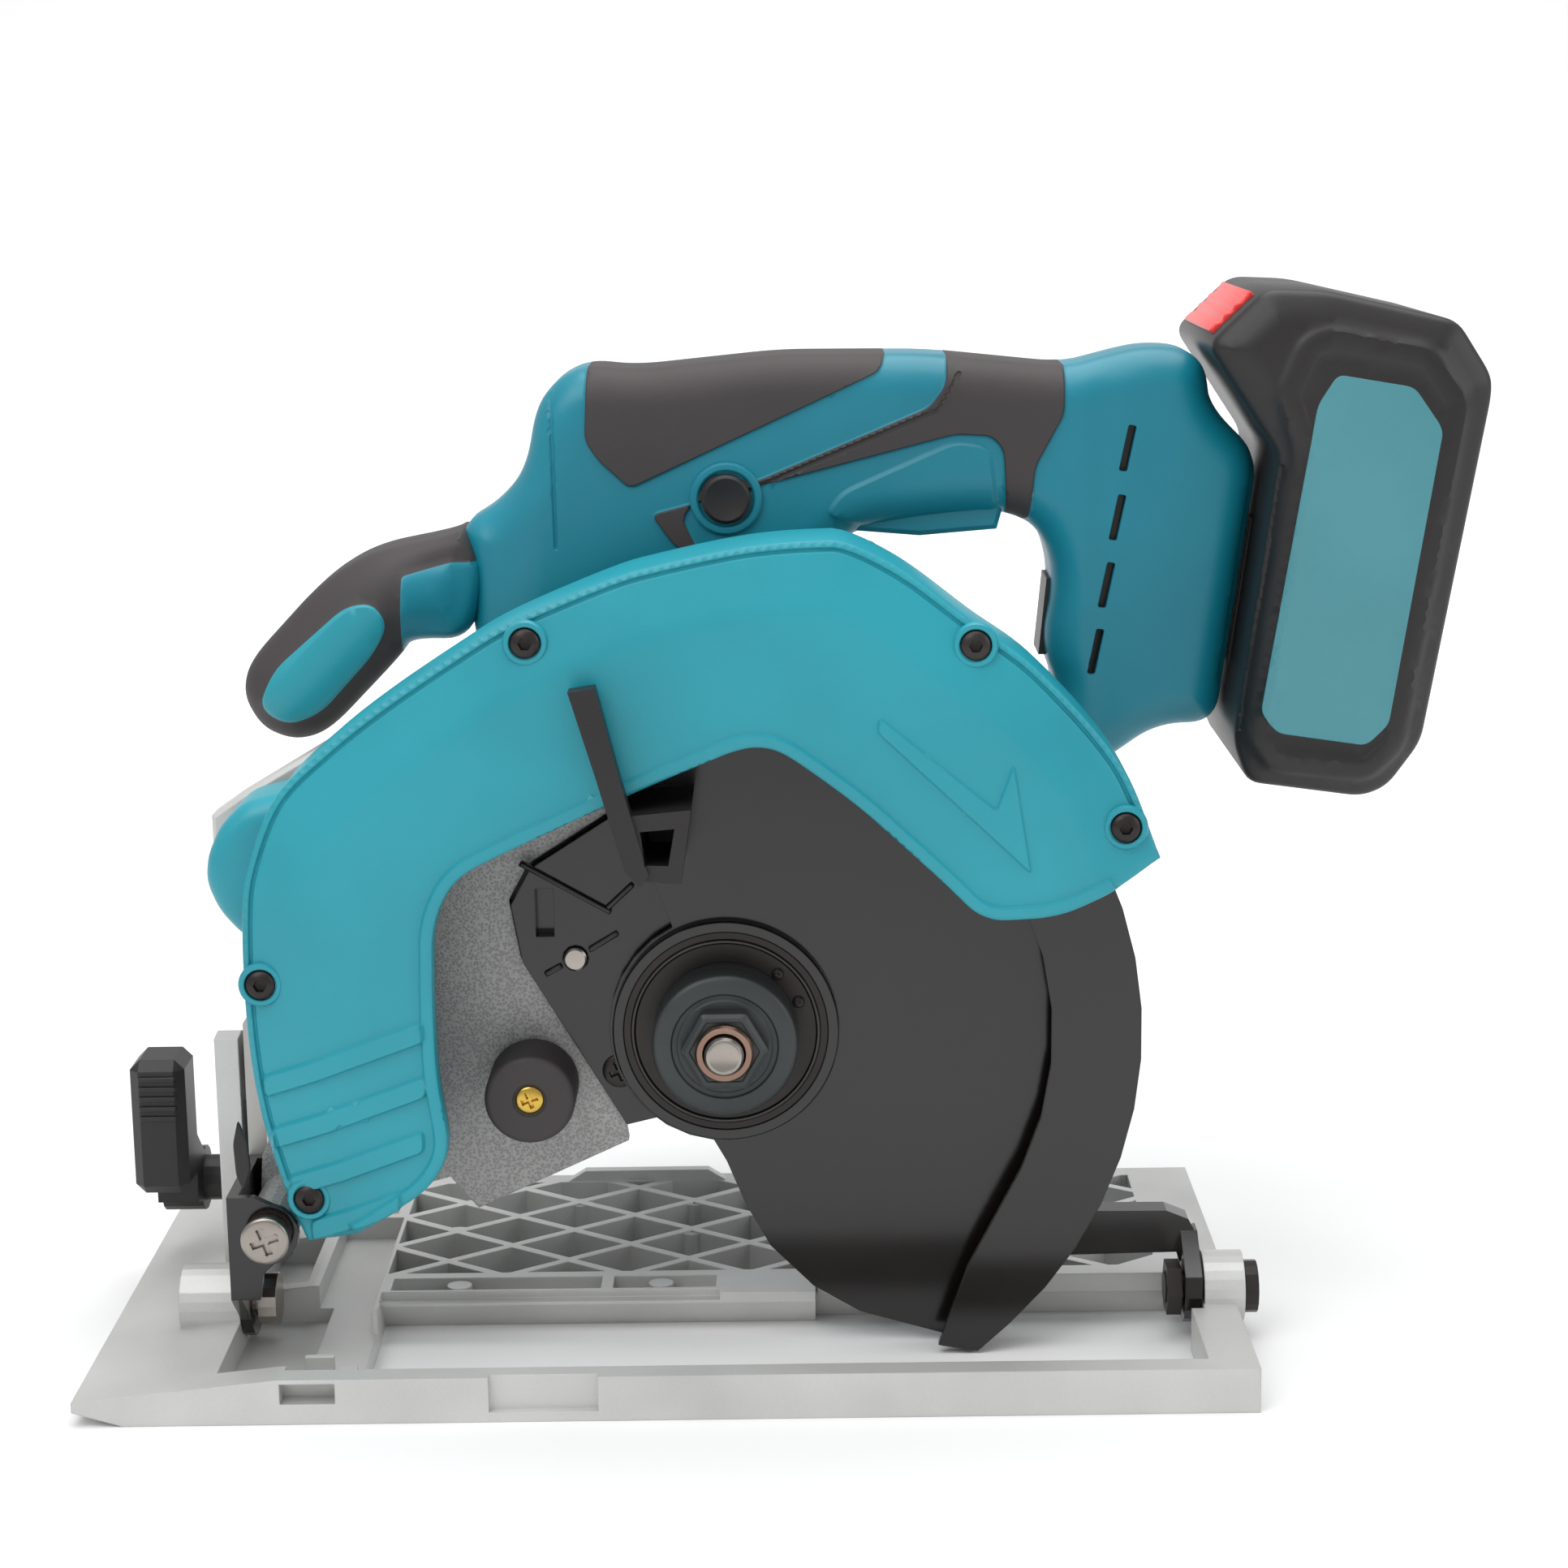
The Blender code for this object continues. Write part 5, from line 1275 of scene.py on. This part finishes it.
@dataclass
class BaseTrim:
    """Small parts of the base and its tilting frame, the motor's can and the front lobe."""

    def build(self) -> None:
        """Make the pointer, the clamp lever's ribs, the pivot bolt's head, the lobe and the can."""
        leaf = [(38.0, 48.0), (39.9, 53.5), (39.4, 60.5), (37.4, 66.0), (36.0, 60.0), (36.4, 52.0)]
        wall = both_round(27.2, 28.8, 0.4, 3)
        pointer = slab("bevel_pointer", soften(leaf, 1.2, 5), wall, BLACK, "tilt_frame")
        for number in range(5):
            z = 50.0 + 2.6 * number
            low, high = (3.2, 77.2, z), (12.6, 80.0, z + 1.3)
            piece = block(f"lever_rib_{number}", low, high, 0.5, BLACK, "bevel_lock_lever")
        place = np.array([PIVOT[0], 25.6, PIVOT[2]])
        head = Hub().cross_screw("pivot_bolt_head", place, 5.9, STEEL, "tilt_frame")
        self.lobe()
        self.motor_can()

    def motor_can(self) -> None:
        """Make the motor's can: a smooth open drum with two raised hoops and a thick front wall."""
        profile = [(18.0, 66.4), (39.2, 66.4), (40.0, 67.2), (40.0, 84.0), (40.5, 84.6), (40.5, 86.6)]
        profile += [(40.0, 87.2), (40.0, 141.5), (40.5, 142.1), (40.5, 144.1), (40.0, 144.7)]
        profile += [(40.0, 149.8), (39.3, 150.5)]
        profile += [(36.5, 150.5), (36.5, 80.0), (18.0, 80.0)]
        can = turned("motor_can", MOTOR, profile, DEEP_TEAL, "saw_body", 128)
        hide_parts("motor_housing")

    def lobe(self) -> None:
        """Make the teal lobe behind the cover's front: a domed shell with a round edge."""
        line = [
            (55.0, 145.5), (48.6, 142.8), (40.1, 140.7), (34.3, 135.1), (30.9, 127.7),
            (30.3, 121.5), (33.2, 114.3), (38.7, 108.0), (46.0, 106.0), (48.0, 114.0),
        ]
        shape = soften(line, 3.0, 6)

        def dome(x: np.ndarray, z: np.ndarray, d: np.ndarray) -> np.ndarray:
            """Return the lobe's depth: 37 mm with a 5 mm round edge."""
            return 37.0 + crown(d, 5.0)

        piece = relief(
            "front_lobe_shell", shape, dome, 57.8, TEAL, "saw_body", pitch=2.0,
            rings=(0.3, 0.9, 1.8, 3.2, 5.0),
        )
        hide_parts("front_lobe")


ASSEMBLIES = (GuardCover, Handle, Battery, FrontHandle, Hub, BaseTrim)


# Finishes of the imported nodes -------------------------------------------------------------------


@dataclass
class CarriedNodes:
    """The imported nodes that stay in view, each with a finish for what it is made of."""

    finishes: dict = field(
        default_factory=lambda: {
            CAST: ("base_plate", "front_casting", "bevel_quadrant"),
            SAND: ("blade_case",),
            GLOSS: ("gear_housing", "tilt_bracket", "rear_arm", "lower_guard", "depth_guide"),
            PLATE: ("tilt_plate",),
            DARK_STEEL: (
                "rear_bevel_bolt", "rear_bevel_nut", *(f"cover_screw_{i}" for i in range(1, 6)),
                "bearing_retainer",
            ),
            STEEL: (
                "front_bevel_pin", "depth_pivot_bolt", "bevel_clamp_bolt", "guide_clamp_bolt",
                "spindle_bearing_front", "spindle_bearing_rear", "spindle", "drive_gear", "pinion",
                "motor_rotor",
            ),
            FLANGE: ("inner_flange", "outer_flange"),
            BRONZE: ("blade_bolt",),
            BRASS: ("stopper_screw",),
            COPPER: ("motor_stator",),
            TEAL: ("guard_cover", "front_lobe"),
            DEEP_TEAL: ("motor_housing", "housing_near", "housing_far", "front_handle_core", "trigger"),
            BLACK: (
                "motor_end_cap", "guard_lever", "bevel_lever", "depth_lever", "battery_pack",
                "lock_off_button", "mode_button", "shaft_lock_button", "switch_body", "terminal_block",
                "cooling_fan",
            ),
            RUBBER: (
                "top_grip_near", "side_grip_near", "top_grip_far", "side_grip_far",
                "front_handle_near", "front_handle_far", "rubber_stopper",
            ),
            RED: ("battery_latch",),
            BOARD: ("controller_board",),
        }
    )

    def dress(self) -> None:
        """Put each finish on its nodes."""
        left = set(frame["nodes"])
        for finish, names in self.finishes.items():
            for name in names:
                mesh = frame["nodes"][name].data
                mesh.materials.clear()
                mesh.materials.append(finish.material())
                left.discard(name)
        LOG.info("dressed the packed nodes, %d left", len(left))


# Studio -----------------------------------------------------------------------------------------


@dataclass
class Studio:
    """A pale floor, soft light and the camera.

    The camera stands in front of the blade side and looks slightly down.
    """

    stand: tuple[float, float, float] = (3.67, -782.2, 295.87)
    down: float = 0.203947
    aside: float = -0.0050609
    roll: float = 0.0146193
    lens: float = 72.67

    def build(self) -> None:
        """Make the floor, the sky, the lamps and the camera."""
        self.floor()
        self.sky()
        self.lamp("key_light", (-0.55, -0.75, 1.1), 0.9, 7.0)
        self.lamp("top_light", (0.1, 0.15, 1.3), 1.2, 12.0)
        self.lamp("side_light", (1.1, -0.35, 0.55), 0.7, 2.5)
        self.lamp("back_light", (0.0, 0.9, 1.6), 1.0, 34.0, (0.0, 3.2, 0.4))
        self.camera()
        LOG.info("studio is ready")

    def floor(self) -> None:
        """Lay a pale matt floor that sweeps up before and behind the saw.

        Its height is 0 out to the flat's end, then rise (1 - cos t), where t = (|y| - flat) / rise.
        """
        half, flat, rise = 6.0, 1.6, 1.5
        rows, columns = 121, 9
        x, y = np.meshgrid(np.linspace(-half, half, columns), np.linspace(-half, half, rows))
        turn = np.clip((np.abs(y) - flat) / rise, 0, math.pi / 2)
        points = np.stack([x.ravel(), y.ravel(), (rise * (1 - np.cos(turn))).ravel()], 1)
        mesh = bpy.data.meshes.new("floor")
        mesh.from_pydata(points.tolist(), [], grid_faces(rows, columns, False))
        mesh.shade_smooth()
        floor = bpy.data.objects.new("floor", mesh)
        bpy.context.scene.collection.objects.link(floor)
        paper = bpy.data.materials.new("floor_paper")
        paper.use_nodes = True
        tree = paper.node_tree
        shader = tree.nodes["Principled BSDF"]
        shader.inputs["Base Color"].default_value = linear("#F4F4F4")
        shader.inputs["Roughness"].default_value = 0.8
        place = add(tree, "ShaderNodeTexCoord", {}, {}).outputs["Object"]
        noise = add(tree, "ShaderNodeTexNoise", {"Scale": 400.0}, {"Vector": place})
        bump = add(tree, "ShaderNodeBump", {"Distance": 0.00005}, {"Height": noise.outputs["Fac"]})
        tree.links.new(bump.outputs["Normal"], shader.inputs["Normal"])
        mesh.materials.append(paper)

    def sky(self) -> None:
        """Light everything evenly from a near-white surround."""
        world = bpy.data.worlds.new("surround")
        world.use_nodes = True
        shade = world.node_tree.nodes["Background"]
        shade.inputs["Color"].default_value = linear("#FFFFFF")
        shade.inputs["Strength"].default_value = 0.55
        bpy.context.scene.world = world
        bpy.context.scene.view_settings.view_transform = "Standard"

    def lamp(
        self, name: str, place: tuple, size: float, power: float, target: tuple = (0.0, 0.0, 0.12)
    ) -> None:
        """Hang a square soft light that faces the saw or another target.

        Args:
            name: the light's name.
            place: its place in metres.
            size: its side in metres.
            power: its power in watts.
            target: the point that it faces.
        """
        light = bpy.data.lights.new(name, "AREA")
        light.size = size
        light.energy = power
        lamp = bpy.data.objects.new(name, light)
        bpy.context.scene.collection.objects.link(lamp)
        lamp.location = place
        aim = Vector(target) - Vector(place)
        lamp.rotation_euler = aim.to_track_quat("-Z", "Y").to_euler()

    def camera(self) -> None:
        """Set the camera from its place, its turn about Z, its tilt and its roll."""
        look = np.array(
            [
                math.sin(self.aside) * math.cos(self.down),
                math.cos(self.aside) * math.cos(self.down),
                -math.sin(self.down),
            ]
        )
        right = np.array([math.cos(self.aside), -math.sin(self.aside), 0.0])
        below = np.cross(look, right)
        across = right * math.cos(self.roll) + below * math.sin(self.roll)
        under = -right * math.sin(self.roll) + below * math.cos(self.roll)
        turn = Matrix(np.stack([across, -under, -look], 1).tolist())
        data = bpy.data.cameras.new("camera")
        data.lens = self.lens
        data.sensor_width = 36.0
        data.clip_start = 0.01
        camera = bpy.data.objects.new("camera", data)
        bpy.context.scene.collection.objects.link(camera)
        camera.matrix_world = Matrix.Translation(Vector(self.stand) * MM) @ turn.to_4x4()
        bpy.context.scene.camera = camera


def main() -> None:
    """Build the studio, the sub-assemblies in order and the finishes."""
    Studio().build()
    CarriedNodes().dress()
    for assembly in ASSEMBLIES:
        assembly().build()
        LOG.info("built %s", assembly.__name__)


if __name__ == "__main__":
    logging.basicConfig(level=logging.INFO)
    main()
